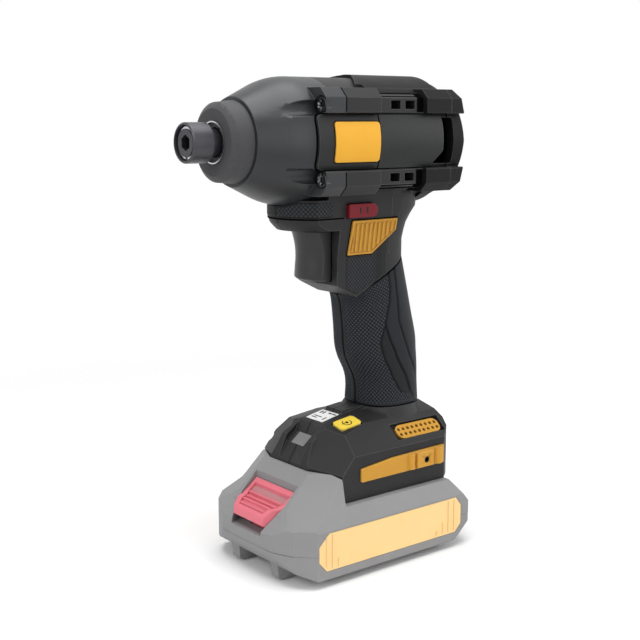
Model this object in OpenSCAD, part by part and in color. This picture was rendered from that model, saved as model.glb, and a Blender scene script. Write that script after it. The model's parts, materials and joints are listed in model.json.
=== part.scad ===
// Cordless impact driver with a slide-on battery pack.
// +X points out of the nose, +Y to the user's left, +Z up. The pack stands on z = 0.

/* [Head] */
// Height of the head's axis above the surface that the pack stands on
head_z = 205; // [200:1:212]
// Outer radius of the motor barrel and of the hammer case
barrel_r = 29.6; // [29.2:0.1:30.4]
// Wall of the motor barrel
barrel_wall = 3; // [2.7:0.1:3.2]
// Length of the motor barrel behind the hammer case
barrel_len = 66; // [64:1:70]
// Length of the rear cover's dome
cover_len = 14; // [12:1:16]
// Length of the hammer case, from the motor barrel to the nose bumper
case_len = 40.7; // [39:0.1:43]
// Length of the nose bumper
bumper_len = 10.3; // [9:0.1:12]
// Largest radius of the nose bumper
bumper_r = 18.6; // [17.5:0.1:19.8]
// Radius of the nose bumper's flat front face
bumper_face_r = 15; // [13.5:0.1:16.5]
// Half height of the side panels
panel_half = 12.3; // [11:0.1:12.6]

/* [Bit holder] */
// Hexagon of the bit socket across its flats, with play
socket_flats = 6.45; // [6.4:0.01:6.6]
// Depth of the bit socket
socket_depth = 23; // [15:1:25]
// Outer radius of the bit sleeve
sleeve_r = 9; // [8.8:0.1:9.4]
// Length of the bit sleeve
sleeve_len = 11; // [10.5:0.1:13]
// Travel of the bit sleeve when a bit is released
sleeve_travel = 4; // [2:0.5:4]

/* [Drive] */
// Tooth size of the planetary gears
gear_module = 0.8; // [0.76:0.01:0.82]
// Teeth on the motor pinion
sun_teeth = 12; // [12]
// Teeth on each planet gear
planet_teeth = 15; // [15]
// Number of planet gears
planet_count = 3; // [3]
// Width of the planet gears
gear_w = 6; // [5:0.5:6]
// Radius of the hammer
hammer_r = 20; // [18.5:0.5:20.5]
// Length of the hammer's body
hammer_len = 21; // [19:0.5:22]
// Length of the stator's stack
stack_len = 24; // [20:1:26]
// Radius of the cooling fan
fan_r = 23.5; // [20:0.5:25]

/* [Grip] */
// Width of the grip
grip_w = 34; // [32:0.5:38]
// Thickness of the rubber on the grip
rubber_t = 1.6; // [1.2:0.1:2]
// Width of the trigger
trigger_w = 22; // [18:1:23]
// Travel of the trigger
trigger_travel = 7; // [4:0.5:7]
// Length of the direction selector, from side to side
selector_len = 41; // [40:0.5:44]
// Travel of the direction selector each way from the middle
selector_travel = 3; // [2:0.5:3]

/* [Foot] */
// Width of the foot
foot_w = 63.5; // [62:0.5:66]
// Height of the foot's lower edge, where the pack begins
foot_z = 35.5; // [34:0.5:38]
// Height of the foot, up to the grip
foot_h = 35; // [33.5:0.5:37]

/* [Battery pack] */
// Width of the pack
pack_w = 78; // [76:1:84]
// Length of the pack
pack_len = 118; // [116:1:124]
// Height of the seam between the pack's two cases
pack_seam_z = 16; // [14:0.5:18]
// Wall of the pack's cases
pack_wall = 2.4; // [2:0.1:2.8]
// Height of the skids under the pack
skid_h = 3; // [2:0.5:3.5]
// Radius of one cell
cell_r = 9.1; // [8.8:0.1:9.2]
// Travel of the release latch
latch_travel = 3; // [2:0.5:3.5]

/* [Hidden] */
$fn = 64;
// half of the gap that shows as the housing's parting line
seam = 0.1;
// gap between pieces that slide or turn on each other
fit = 0.3;
// gap between pieces that are fixed to each other
snug = 0.1;
// radial play of a shaft in its bore
run = 0.05;

// places along the head's axis, chained from the plane between motor barrel and hammer case
part_x = 8;
case_front = part_x + case_len;
bumper_front = case_front + bumper_len;
sleeve_back = bumper_front + 4;
sleeve_front = sleeve_back + sleeve_len;
anvil_front = sleeve_front - 0.9;
barrel_back = part_x - barrel_len;
cover_back = barrel_back - cover_len;
barrel_in = barrel_r - barrel_wall;
vent_front = part_x - 21;
rail_y = barrel_r + 1.8;
guard_rail_x = barrel_back + 16;

// hammer mechanism
wall_in = case_front - 5.2;
ear_front = wall_in - fit;
ear_back = ear_front - 6.7;
hammer_front = ear_back - 1.5;
hammer_back = hammer_front - hammer_len;
hammer_travel = 5;
anvil_r = 6.2;
bush_r = 8;
bush_back = wall_in + fit;
bush_front = bumper_front - 4;
nose_lip_r = 9.6;
nose_bore_r = nose_lip_r - 0.8;
spindle_r = 6.9;
spindle_nose_r = 3.5;

// gears
ring_teeth = sun_teeth + 2 * planet_teeth;
centre_d = gear_module * (sun_teeth + planet_teeth) / 2;
pressure = 25;
backlash = 0.14;
ring_out = gear_module * (ring_teeth / 2 + 1.25) + 2.7;
gear_x = part_x - 9.5;
gear_end = gear_x + gear_w;
disc_back = gear_end + 0.5;
disc_front = disc_back + 3.5;
carrier_r = centre_d + 5.5;
hub_r = 9;
hub_bore = gear_module * (sun_teeth / 2 + 1) + 0.6;
pin_r = 2.2;
plate_back = gear_x - 14;

// motor
shaft_r = 2.5;
stator_front = plate_back - 4.5;
stator_back = stator_front - stack_len;
stator_r = barrel_in - snug;
rotor_r = stator_r * 0.479;
coil_over = 3.5;
hall_back = stator_back - coil_over - 1.7;
fan_front = hall_back - 0.8;
fan_w = 6.2;
bearing_r = 8;
rear_bearing_r = 6.5;
rear_bearing_front = barrel_back - 2.5;

// trigger shroud and grip, measured down from the head's axis
band_top = head_z - 28.8;
band_low = head_z - 34.8;
shroud_low = head_z - 41.4;
trigger_top = shroud_low - 0.7;
trigger_low = head_z - 66;
shroud_half = grip_w / 2 + 1.3;
selector_z = head_z - 32.3;
selector_h = 6.4;
selector_x = -3.2;
selector_l = 17.6;
foot_top = foot_z + foot_h;
grip_top = head_z - 56;

// slide of the pack under the foot
slide_gap = 0.5;
pack_top = foot_z - fit;
tower_half = 24;
tower_neck = 19.4;
tower_lip_z = foot_z + 4.2;
tower_top = foot_z + 10.5;
tower_back = -44;
roof_z = tower_top + slide_gap;
pack_back = -74;
pack_front = pack_back + pack_len;
floor_z = skid_h + pack_wall;
cell_z = floor_z + 0.4 + cell_r;
cell_pitch = 2 * cell_r + 0.4;
cell_count = 5;
cell_len = pack_w - 13;
board_z = cell_z + cell_r + 3.2;

// half space on the far side of the plane n * p = d
module beyond(n, d) rotate([0, acos(n[2] / norm(n)), atan2(n[1], n[0])])
  translate([-200, -200, d / norm(n)]) cube([400, 400, 200]);
// turns a shape drawn round +Z so that its axis is the head's axis, +Z becoming +X
module on_axis(x = 0) translate([x, 0, head_z]) rotate([0, 90, 0]) children();
// draws a (Y, Z) outline along X
module along_x(x0, x1) translate([x0, 0, 0]) rotate([90, 0, 90]) linear_extrude(x1 - x0) children();
// draws an (X, Z) outline across the middle plane
module across_y(w) rotate([90, 0, 0]) linear_extrude(w, center = true) children();
// draws an (X, Z) outline between two distances from the middle plane
module between_y(y0, y1) translate([0, y1, 0]) rotate([90, 0, 0]) linear_extrude(y1 - y0) children();
module tube(r0, r1, x0, x1) on_axis(x0) difference() {
  cylinder(r = r1, h = x1 - x0);
  translate([0, 0, -1]) cylinder(r = r0, h = x1 - x0 + 2);
}
module both_sides() { children(); mirror([0, 1, 0]) children(); }
module four_corners() {
  translate([0, 0, head_z]) for (m = [0, 1]) mirror([0, 0, m]) both_sides() children();
}
module rounded_box2(x0, z0, x1, z1, r) {
  translate([x0 + r, z0]) square([x1 - x0 - 2 * r, z1 - z0]);
  translate([x0, z0 + r]) square([x1 - x0, z1 - z0 - 2 * r]);
  for (x = [x0 + r, x1 - r], z = [z0 + r, z1 - r]) translate([x, z]) circle(r);
}
function arc(c, r, a0, a1, n) = [for (i = [0:n]) let (a = a0 + (a1 - a0) * i / n) c + r * [cos(a), sin(a)]];

// six-lobe screw along +Z, its head's top at z = 0, its shank below
module lobe_screw(shank_r, head_r, head_h, len) difference() {
  union() {
    translate([0, 0, -head_h]) cylinder(r = head_r, h = head_h);
    translate([0, 0, -len]) cylinder(r = shank_r, h = len);
  }
  translate([0, 0, -head_h * 0.6]) {
    cylinder(r = head_r * 0.42, h = head_h);
    for (a = [0:60:300]) rotate(a) translate([head_r * 0.42, 0, 0]) cylinder(r = head_r * 0.13, h = head_h,
      $fn = 24);
  }
}

// spring along +Z: one tube of wire on a helix
module coil_spring(r, wire, len, turns) {
  steps = turns * 12;
  sides = 6;
  rise = len - wire;
  echo(spring_gap = rise / turns - wire);
  points = [for (i = [0:steps], s = [0:sides - 1]) let (a = 360 * turns * i / steps, b = 360 * s / sides)
    [(r + wire / 2 * cos(b)) * cos(a), (r + wire / 2 * cos(b)) * sin(a),
      wire / 2 + rise * i / steps + wire / 2 * sin(b)]];
  faces = concat(
    [[for (s = [0:sides - 1]) s]],
    [for (i = [0:steps - 1], s = [0:sides - 1]) let (t = (s + 1) % sides)
      [i * sides + s, (i + 1) * sides + s, (i + 1) * sides + t]],
    [for (i = [0:steps - 1], s = [0:sides - 1]) let (t = (s + 1) % sides)
      [i * sides + s, (i + 1) * sides + t, i * sides + t]],
    [[for (s = [sides - 1:-1:0]) steps * sides + s]]);
  polyhedron(points, faces);
}

// involute gear outline: teeth, tip and root radii, and the change of tooth thickness for play
function involute(a) = tan(a) - a * PI / 180;
function flank(r, rb, base) = base - (r > rb ? involute(acos(rb / r)) * 180 / PI : 0);
module gear2(teeth, tip, root, play) {
  rp = gear_module * teeth / 2;
  rb = rp * cos(pressure);
  base = 90 / teeth + involute(pressure) * 180 / PI - play / 2 / rp * 180 / PI;
  start = max(rb, root);
  radii = concat(root < rb ? [root] : [], [for (i = [0:4]) start + (tip - start) * i / 4]);
  n = len(radii);
  polygon([for (k = [0:teeth - 1], side = [-1, 1], i = [0:n - 1])
    let (r = radii[side < 0 ? i : n - 1 - i], a = 360 * k / teeth + side * flank(r, rb, base)) r * [cos(a),
      sin(a)]]);
}

// bit holder
module bit_sleeve() color("#26262a") on_axis() rotate_extrude() polygon([
  [anvil_r + 0.15, sleeve_back], [sleeve_r - 0.6, sleeve_back], [sleeve_r, sleeve_back + 0.6],
  [sleeve_r, sleeve_front - 0.6], [sleeve_r - 0.6, sleeve_front], [sleeve_r - 1.2, sleeve_front],
  [sleeve_r - 1.2, sleeve_back + 1.9], [anvil_r + 0.15, sleeve_back + 1.9]]);
module sleeve_spring() color("#b9bcc2") on_axis(sleeve_back + 2)
  coil_spring(anvil_r + 0.75, 0.7, sleeve_len - 4.9, 3);
module sleeve_washer() color("#8d9096")
  tube(anvil_r + run, sleeve_r - 1.5, anvil_front - 1.9, anvil_front - 1.3);
module sleeve_clip() color("#a2a5aa") on_axis(anvil_front - 1.2) difference() {
  cylinder(r = anvil_r + 0.9, h = 0.7);
  translate([0, 0, -1]) cylinder(r = anvil_r - 0.4, h = 3);
  translate([0, -0.9, -1]) cube([20, 1.8, 3]);
}
module detent_balls() color("#c9ccd2") for (s = [-1, 1])
  translate([sleeve_back + 1, 0, head_z + s * 4.62]) sphere(r = 1.5);
module anvil() color("#4d4f53") difference() {
  union() {
    on_axis(ear_front - 1) cylinder(r = anvil_r, h = anvil_front - ear_front + 1);
    on_axis(ear_back) cylinder(r = 9, h = ear_front - ear_back);
    on_axis(ear_back) intersection() {
      cylinder(r = 17.5, h = ear_front - ear_back);
      translate([-20, -5, 0]) cube([40, 10, ear_front - ear_back]);
    }
  }
  on_axis(ear_back - 1) cylinder(r = spindle_nose_r + run, h = 6);
  on_axis(anvil_front - socket_depth) linear_extrude(socket_depth + 1) circle(r = socket_flats / sqrt(3),
    $fn = 6);
  translate([sleeve_back + 1, 0, head_z]) cylinder(r = 1.6, h = 40, center = true);
  on_axis(anvil_front - 1.25) difference() {
    cylinder(r = anvil_r + 1, h = 0.8);
    translate([0, 0, -1]) cylinder(r = anvil_r - 0.5, h = 3);
  }
}
module anvil_bush() color("#a8823f") tube(anvil_r + run, bush_r, bush_back, bush_front);
module nose_bumper() color("#2a2a2c") on_axis() rotate_extrude() polygon([
  [12.1, case_front + snug], [bumper_r, case_front + snug], [bumper_r - 0.8, bumper_front - 2],
  [bumper_face_r, bumper_front], [nose_lip_r + snug, bumper_front], [nose_lip_r + snug, bumper_front - 2.8],
  [12.1, bumper_front - 2.8]]);

// hammer case
case_arc_x = part_x + 12;
case_arc_r = 38;
case_arc_a = 24.7;
cone_r = barrel_r - case_arc_r * (1 - cos(case_arc_a));
cone_x = case_arc_x + case_arc_r * sin(case_arc_a);
case_nose_r = cone_r - tan(case_arc_a) * (case_front - cone_x);
ear_x = part_x + 11.5;
screw_y = rail_y - 4.1;
screw_z = 16.6;
module rail2(reach = 0, top = 24.3) polygon([
  [18, panel_half + 0.5], [rail_y - 0.5 + reach, panel_half + 0.5], [rail_y + reach, panel_half + 1],
  [rail_y + reach, 19.9], [rail_y - 4.2 + reach, top], [14, top]]);
module hammer_case() color("#56585b") difference() {
  union() {
    on_axis() rotate_extrude() polygon(concat([[0, part_x], [barrel_r, part_x]],
      [for (i = [0:8]) let (a = case_arc_a * i / 8)
        [barrel_r - case_arc_r * (1 - cos(a)), case_arc_x + case_arc_r * sin(a)]],
      [[case_nose_r, case_front], [12, case_front], [12, bumper_front - 3],
       [nose_lip_r, bumper_front - 3], [nose_lip_r, bumper_front + 0.3], [0, bumper_front + 0.3]]));
    four_corners() along_x(part_x, ear_x) rail2();
  }
  on_axis() rotate_extrude() polygon([
    [0, part_x - 1], [hammer_r + 3.2, part_x - 1], [hammer_r + 3.2, part_x + 22], [hammer_r - 0.8, wall_in],
    [0, wall_in]]);
  on_axis(wall_in - 1) cylinder(r = anvil_r + 0.5, h = 60);
  on_axis(wall_in - 1) cylinder(r = bush_r + snug, h = bush_front + snug - wall_in + 1);
  on_axis(bumper_front - 1.2) cylinder(r = nose_bore_r, h = 60);
  four_corners() translate([0, screw_y, screw_z]) rotate([0, 90, 0]) {
    translate([0, 0, part_x - 1]) cylinder(r = 1.9, h = 30);
    // pocket round the screw's head, drawn out towards the axis
    translate([0, 0, ear_x - 3]) linear_extrude(40) rotate(atan2(-screw_y, screw_z)) {
      circle(r = 4.2);
      translate([2, 0]) circle(r = 4.2);
      translate([0, -4.2]) square([2, 8.4]);
    }
  }
}
module case_screws() color("#9c9fa3") four_corners()
  translate([ear_x - 0.3, screw_y, screw_z]) rotate([0, 90, 0]) lobe_screw(1.6, 3.3, 2.5, 20);

// hammer mechanism
module hammer() color("#6a6c70") difference() {
  union() {
    on_axis() rotate_extrude() polygon([
      [spindle_r + 0.1, hammer_back], [10, hammer_back], [10, hammer_front - 8], [15.5, hammer_front - 8],
      [15.5, hammer_back], [hammer_r - 1, hammer_back], [hammer_r, hammer_back + 1],
      [hammer_r, hammer_front - 1], [hammer_r - 1, hammer_front], [spindle_r + 0.1, hammer_front]]);
    on_axis(hammer_front - 1) intersection() {
      difference() {
        cylinder(r = 17.5, h = 7.5);
        translate([0, 0, -1]) cylinder(r = 9.9, h = 10);
      }
      translate([-5, -20, 0]) cube([10, 40, 7.5]);
    }
  }
  for (s = [-1, 1]) on_axis(hammer_front - 10) translate([0, s * spindle_r, 0]) cylinder(r = 2.6, h = 12);
}
module hammer_spring() color("#9da0a6") on_axis(disc_front + 0.2)
  coil_spring(12.7, 2.4, hammer_front - 8 - disc_front - 0.4, 4);
module cam_spindle() color("#7d8086") difference() {
  union() {
    on_axis(disc_front - 1) cylinder(r = spindle_r, h = ear_back - disc_front + 0.5);
    on_axis(ear_back - 1) cylinder(r = spindle_nose_r, h = 5.5);
    on_axis(disc_back) cylinder(r = carrier_r, h = disc_front - disc_back);
    tube(hub_bore, carrier_r, gear_x - 2.5, gear_x - 0.5);
    tube(hub_bore, hub_r, gear_x - 5.5, gear_x - 1.5);
    for (k = [0:planet_count - 1]) on_axis(gear_x - 1) rotate(360 * (k + 0.5) / planet_count)
      translate([centre_d + 1.6, 0, 0]) cylinder(r = 2.3, h = disc_back - gear_x + 2);
  }
  for (s = [-1, 1]) translate([hammer_front - 6, s * spindle_r, head_z]) sphere(r = 2.45);
  for (k = [0:planet_count - 1]) on_axis(gear_x - 4) rotate(360 * k / planet_count)
    translate([centre_d, 0, 0]) cylinder(r = pin_r + 0.02, h = gear_w + 12);
}
module cam_balls() color("#cfd2d6") for (s = [-1, 1])
  translate([hammer_front - 6, s * spindle_r, head_z]) sphere(r = 2.4);
module planet_pins() color("#b5b8bd") for (k = [0:planet_count - 1]) on_axis(gear_x - 2.5)
  rotate(360 * k / planet_count) translate([centre_d, 0, 0]) cylinder(r = pin_r,
    h = disc_front - gear_x + 2.5);
module planet_gear(k) color("#8f9298") on_axis(gear_x) rotate(360 * k / planet_count)
  translate([centre_d, 0, 0]) linear_extrude(gear_w) difference() {
    gear2(planet_teeth, gear_module * (planet_teeth / 2 + 0.95), gear_module * (planet_teeth / 2 - 1.25),
      backlash);
    circle(r = pin_r + run);
  }
module planet_gear_1() planet_gear(0);
module planet_gear_2() planet_gear(1);
module planet_gear_3() planet_gear(2);
module ring_gear() color("#5f6166") on_axis(gear_x - 0.4) linear_extrude(gear_w + 0.8) difference() {
  circle(r = ring_out);
  gear2(ring_teeth, gear_module * (ring_teeth / 2 + 1.25), gear_module * (ring_teeth / 2 - 0.85), -backlash);
}
module gear_plate() color("#6d7075") on_axis() rotate_extrude() polygon([
  [bearing_r + snug, plate_back], [barrel_in - snug, plate_back], [barrel_in - snug, plate_back + 9],
  [ring_out + 3.4, plate_back + 9], [ring_out + 3.4, gear_end + 0.6], [ring_out + snug, gear_end + 0.6],
  [ring_out + snug, gear_x - 0.5], [carrier_r + 0.6, gear_x - 0.5], [carrier_r + 0.6, gear_x - 2.8],
  [hub_r + 3.6, gear_x - 2.8], [hub_r + 3.6, gear_x - 5.8], [shaft_r + 0.7, gear_x - 5.8],
  [shaft_r + 0.7, gear_x - 9], [bearing_r + snug, gear_x - 9]]);
module spindle_bearing() color("#c4c7cb") tube(hub_r + run, hub_r + 3.5, gear_x - 5.7, gear_x - 2.8);

// motor
module motor_shaft() color("#a9acb1") union() {
  on_axis(rear_bearing_front - 4.2) cylinder(r = shaft_r, h = gear_x - 1 - rear_bearing_front + 4.2);
  on_axis(gear_x - 1.5) linear_extrude(gear_w + 1.7)
    gear2(sun_teeth, gear_module * (sun_teeth / 2 + 0.95), gear_module * (sun_teeth / 2 - 1.25), backlash);
}
module rotor_core() color("#7b7470") tube(shaft_r + 0.02, rotor_r, stator_back, stator_front);
module cooling_fan() color("#33343a") union() {
  tube(shaft_r + 0.02, 7, fan_front - fan_w, fan_front);
  tube(6, fan_r, fan_front - 1.2, fan_front);
  on_axis(fan_front - fan_w) for (a = [0:30:330]) rotate(a) translate([10, -0.5, 0]) cube([fan_r - 11, 1,
    fan_w - 0.6]);
}
module front_bearing() color("#c4c7cb") tube(shaft_r + run, bearing_r, plate_back + 0.1, plate_back + 4.9);
module rear_bearing() color("#c4c7cb")
  tube(shaft_r + run, rear_bearing_r, rear_bearing_front - 4, rear_bearing_front);
module stator_core() color("#8b8e93") on_axis(stator_back) linear_extrude(stack_len) union() {
  difference() { circle(r = stator_r); circle(r = stator_r - 4); }
  for (a = [30:60:330]) rotate(a) intersection() {
    union() {
      translate([rotor_r + 0.4, -3]) square([stator_r - rotor_r - 3, 6]);
      translate([rotor_r + 0.4, -0.362 * rotor_r]) square([2, 0.724 * rotor_r]);
    }
    difference() { circle(r = stator_r - 1); circle(r = rotor_r + 0.5); }
  }
}
module stator_coils() color("#b06f3c") for (a = [30:60:330]) on_axis(stator_back - coil_over) rotate(a)
  translate([rotor_r + 3, 0, 0]) difference() {
    translate([0, -5, 0]) cube([stator_r - 5 - rotor_r - 3, 10, stack_len + 2 * coil_over]);
    translate([-1, -3 - snug, coil_over - snug]) cube([40, 6 + 2 * snug, stack_len + 2 * snug]);
  }
module hall_board() color("#2f6b45") tube(rotor_r + 1.5, stator_r - 0.4, hall_back, hall_back + 1.2);

// grip: stations from the foot up to the shroud, each with the front edge, the back edge and the half width
g0 = foot_top - 1;
gs = (grip_top - foot_top) / (149 - 70.5);
function lift(z) = g0 + (z - 69.5) * gs;
stations = [
  [-24.3, lift(73), -59.4, lift(73), grip_w / 2 + 0.6],
  [-24.3, lift(82), -59.2, lift(83), grip_w / 2 - 0.2],
  [-22.7, lift(88.5), -59, lift(92), grip_w / 2 - 0.1],
  [-18.5, lift(96.5), -58.5, lift(100), grip_w / 2 + 0.2],
  [-16.6, lift(103), -57.8, lift(108), grip_w / 2 + 0.3],
  [-15.7, lift(114), -54.8, lift(120), grip_w / 2],
  [-14.1, lift(126), -51.6, lift(134), grip_w / 2 - 0.5],
  [-12.3, lift(130.5), -48, lift(150), grip_w / 2 - 1]];
round_power = 2.5;
function flat_power(v) = sign(v) * pow(abs(v), 2 / round_power);
// point of a station at angle a from the front, moved inwards by d
function grip_point(s, a, d) = let (u = flat_power(cos(a)), v = flat_power(sin(a)),
  slope = (s[1] - s[3]) / (s[0] - s[2]), x = (s[0] + s[2]) / 2 + u * ((s[0] - s[2]) / 2 - d))
  [x, v * (s[4] - d), s[3] + slope * (x - s[2])];
// solid between the stations, moved inwards by d
module grip_solid(d, rows) {
  n = 36;
  m = len(rows);
  points = [for (s = rows, j = [0:n - 1]) grip_point(s, 360 * j / n, d)];
  faces = concat([[for (j = [0:n - 1]) j]], [[for (j = [n - 1:-1:0]) (m - 1) * n + j]],
    [for (i = [0:m - 2], j = [0:n - 1]) let (k = (j + 1) % n) [i * n + j, (i + 1) * n + j, i * n + k]],
    [for (i = [0:m - 2], j = [0:n - 1]) let (k = (j + 1) % n) [(i + 1) * n + j, (i + 1) * n + k, i * n + k]]);
  polyhedron(points, faces);
}
// left rubber skin: the outer face and the inner face joined along the parting line and at both ends
module grip_skin() {
  n = 18;
  w = 2 * n + 2;
  m = len(stations);
  function off(p) = [p[0], max(p[1], seam), p[2]];
  points = [for (s = stations, side = [0, 1], j = [0:n])
    off(grip_point(s, 180 * (side == 0 ? j : n - j) / n, side * (rubber_t - 0.25)))];
  faces = concat(
    [for (i = [0:m - 2], j = [0:w - 1]) let (k = (j + 1) % w) [i * w + j, (i + 1) * w + j, i * w + k]],
    [for (i = [0:m - 2], j = [0:w - 1]) let (k = (j + 1) % w) [(i + 1) * w + j, (i + 1) * w + k, i * w + k]],
    [for (j = [0:n - 1]) [j, j + 1, w - 1 - j]], [for (j = [0:n - 1]) [j + 1, w - 2 - j, w - 1 - j]],
    [for (j = [0:n - 1]) let (b = (m - 1) * w) [b + j + 1, b + j, b + w - 1 - j]],
    [for (j = [0:n - 1]) let (b = (m - 1) * w) [b + w - 2 - j, b + j + 1, b + w - 1 - j]]);
  polyhedron(points, faces);
}
module grip_left() color("#222224") grip_skin();
module grip_right() color("#222224") mirror([0, 1, 0]) grip_skin();

// housing
flare = [
  [-16.5, foot_top - 9, -62, foot_top - 9, grip_w / 2 + 6.5],
  [-21, foot_top - 2, -61, foot_top - 2, grip_w / 2 + 3],
  [-24.2, foot_top + 2.3, -59.5, foot_top + 2.3, grip_w / 2 + 0.7]];
core_low = [-24, foot_top - 2, -59.6, foot_top - 2, grip_w / 2 + 0.5];
core_high = [-8.5, lift(146), -47, lift(161), grip_w / 2 - 1.4];
// height of the line between rubber and shroud
function border(x) = lift(130.5) + 0.2 + (lift(150) - lift(130.5)) * (-12.3 - x) / 35.7;
// rounded back of the shroud, from the rubber up to the barrel
neck = [
  [-13, border(-13), -48, border(-48), grip_w / 2 - 1.1],
  [-9, head_z - 59, -48.6, head_z - 52, grip_w / 2 - 1.3],
  [-7, head_z - 49, -48.5, head_z - 48, grip_w / 2 - 0.8],
  [-6, head_z - 44, -49.5, head_z - 44, grip_w / 2 - 0.3],
  [-6, head_z - 40, -50.7, head_z - 40, grip_w / 2 + 0.3],
  [-6, head_z - 36, -53.3, head_z - 36, grip_w / 2 + 0.9],
  [-6, head_z - 32, -57, head_z - 32, grip_w / 2 + 1.1],
  [-6, head_z - 28, -57.5, head_z - 28, grip_w / 2 + 1.2],
  [-6, head_z - 19, -56, head_z - 19, grip_w / 2 + 1.2]];
shroud_front = 24.3;
shroud_r = shroud_half + 3.3;
module shroud() intersection() {
  across_y(100) polygon([
    [30, band_top + 2], [30, shroud_low], [0, shroud_low], [0, trigger_low - 2], [-2.7, trigger_low - 3.5],
    [-12.3, border(-12.3)], [-32, border(-32)], [-32, head_z - 14], [part_x - seam, head_z - 14],
    [part_x - seam, band_top + 2]]);
  along_x(-80, 60) polygon([for (s = [1, -1]) each
    let (p = [[shroud_half + 2.7, head_z - 13], [shroud_half + 0.1, band_top], [shroud_half, band_low - 0.7],
      [shroud_half - 2.7, head_z - 55], [shroud_half - 3.1, trigger_low - 3], [shroud_half - 3.6,
        trigger_low - 12]])
    [for (i = [0:5]) [s, 1] * [[p[s > 0 ? i : 5 - i][0], 0], [0, p[s > 0 ? i : 5 - i][1]]]]]);
  translate([shroud_front - shroud_r, 0, 0]) union() {
    rotate_extrude($fn = 96) polygon([[0, 0], [shroud_r - 4.1, 0], [shroud_r - 4.1, shroud_low],
      [shroud_r - 2.1, band_low - 4.5], [shroud_r - 0.9, band_low - 3.1], [shroud_r, band_low],
      [shroud_r, head_z], [0, head_z]]);
    translate([-80, -shroud_r, 0]) cube([80, 2 * shroud_r, head_z]);
  }
}
// room for the rear guard under the barrel
module guard_room() {
  tube(barrel_r - 2, barrel_r + 1.9, barrel_back - 20, -51.3);
  four_corners() along_x(barrel_back - 1, guard_rail_x + 0.2)
    polygon([[17.5, panel_half + 0.2], [40, panel_half + 0.2], [40, 24.6], [13.6, 24.6]]);
}
foot_half = foot_w / 2;
facet_n = [148.9, 86.5, 128.3];
pad_n = [0.14, 0.25, 1];
module foot_solid() difference() {
  intersection() {
    across_y(120) polygon([
      [-64.5, foot_z], [9.85, foot_z], [17.8, foot_z + 13.8], [17, foot_z + 17], [12.5, foot_top - 8.8],
      [3.1, foot_top - 2], [-10.2, foot_top + 0.6], [-10.8, foot_top + 2.1], [-19, foot_top + 2.9],
      [-60.5, foot_top + 1], [-64.5, foot_top - 8]]);
    along_x(-80, 60) polygon([
      [-foot_half, foot_z - 1], [foot_half, foot_z - 1], [foot_half, foot_top - 13.4],
      [foot_half - 12.85, foot_top - 2.15], [foot_half - 23.75, foot_top + 1], [foot_half - 25.75,
        foot_top + 4],
      [25.75 - foot_half, foot_top + 4], [23.75 - foot_half, foot_top + 1], [12.85 - foot_half,
        foot_top - 2.15],
      [-foot_half, foot_top - 13.4]]);
    linear_extrude(150) polygon([for (s = [1, -1]) each
      let (p = [[18, foot_half - 17.75], [9.5, foot_half], [-57, foot_half], [-62.7, foot_half - 4.5],
        [-64.5, foot_half - 12]])
      [for (i = [0:4]) [p[s > 0 ? i : 4 - i][0], s * p[s > 0 ? i : 4 - i][1]]]]);
  }
  // flat on each front corner, beside the ridge that holds the work light
  both_sides() intersection() {
    beyond(facet_n, facet_n * [17.2, foot_half - 15.75, foot_z + 15]);
    along_x(-80, 60) polygon([[15.3, foot_z - 1], [15, foot_z + 12.5], [14.2, foot_z + 16.5],
      [12.8, foot_z + 21.5], [12, foot_z + 26.5], [9.2, foot_z + 32.5], [9.2, foot_z + 60], [60, foot_z + 60],
      [60, foot_z - 1]]);
  }
  // flat beside the label, that holds the mode button
  both_sides() intersection() {
    beyond(pad_n, pad_n * [-4, 7, foot_top - 0.65]);
    translate([-80, 6.2, 0]) cube([160, 60, 200]);
  }
}
// places of the details on the foot
module at_button() translate([-7.1, foot_half - 17.35, foot_top - 2.07]) rotate([-14, 8, 0]) children();
module at_label() translate([-3.3, 0, foot_top - 0.72]) rotate([0, 11.2, 0]) children();
module at_grille() both_sides() translate([-45, foot_half - 6.25, foot_top - 7.9]) rotate([-41.2, 0, 0])
  children();
module at_light() translate([9.7, 0, foot_top - 10.3]) rotate([0, 39, 0]) children();
module at_vent() both_sides() translate([0, shroud_half - 1.35, head_z - 45.2]) rotate([-8, 0, 0]) children();
module rail_outline(d = 0) polygon([
  [-1.35 + d, foot_z + 8.55 - d], [-1.35 + d, foot_z + 15.05 + d], [-21.85, foot_z + 17.15 + d],
  [-55.85 - d, foot_z + 17.75 + d], [-55.85 - d, foot_z + 8.55 - d]]);
// place of the accessory rail's screw hole
hook_x = -42.6;
hook_z = foot_z + 12.6;
module vent_outline(d = 0) polygon([
  [-7 + d, 8.2 + d], [-35 - d, 8.2 + d], [-34.5 - d, 2.5], [-20.5 - d * 0.5, -8.4 - d], [-5.5 + d,
    -8.4 - d]]);
module selector_outline(d = 0) {
  translate([selector_x - selector_l + selector_h / 2, -selector_h / 2 - d])
    square([selector_l - selector_h / 2 + d, selector_h + 2 * d]);
  translate([selector_x - selector_l + selector_h / 2, 0]) circle(r = selector_h / 2 + d);
}
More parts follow.
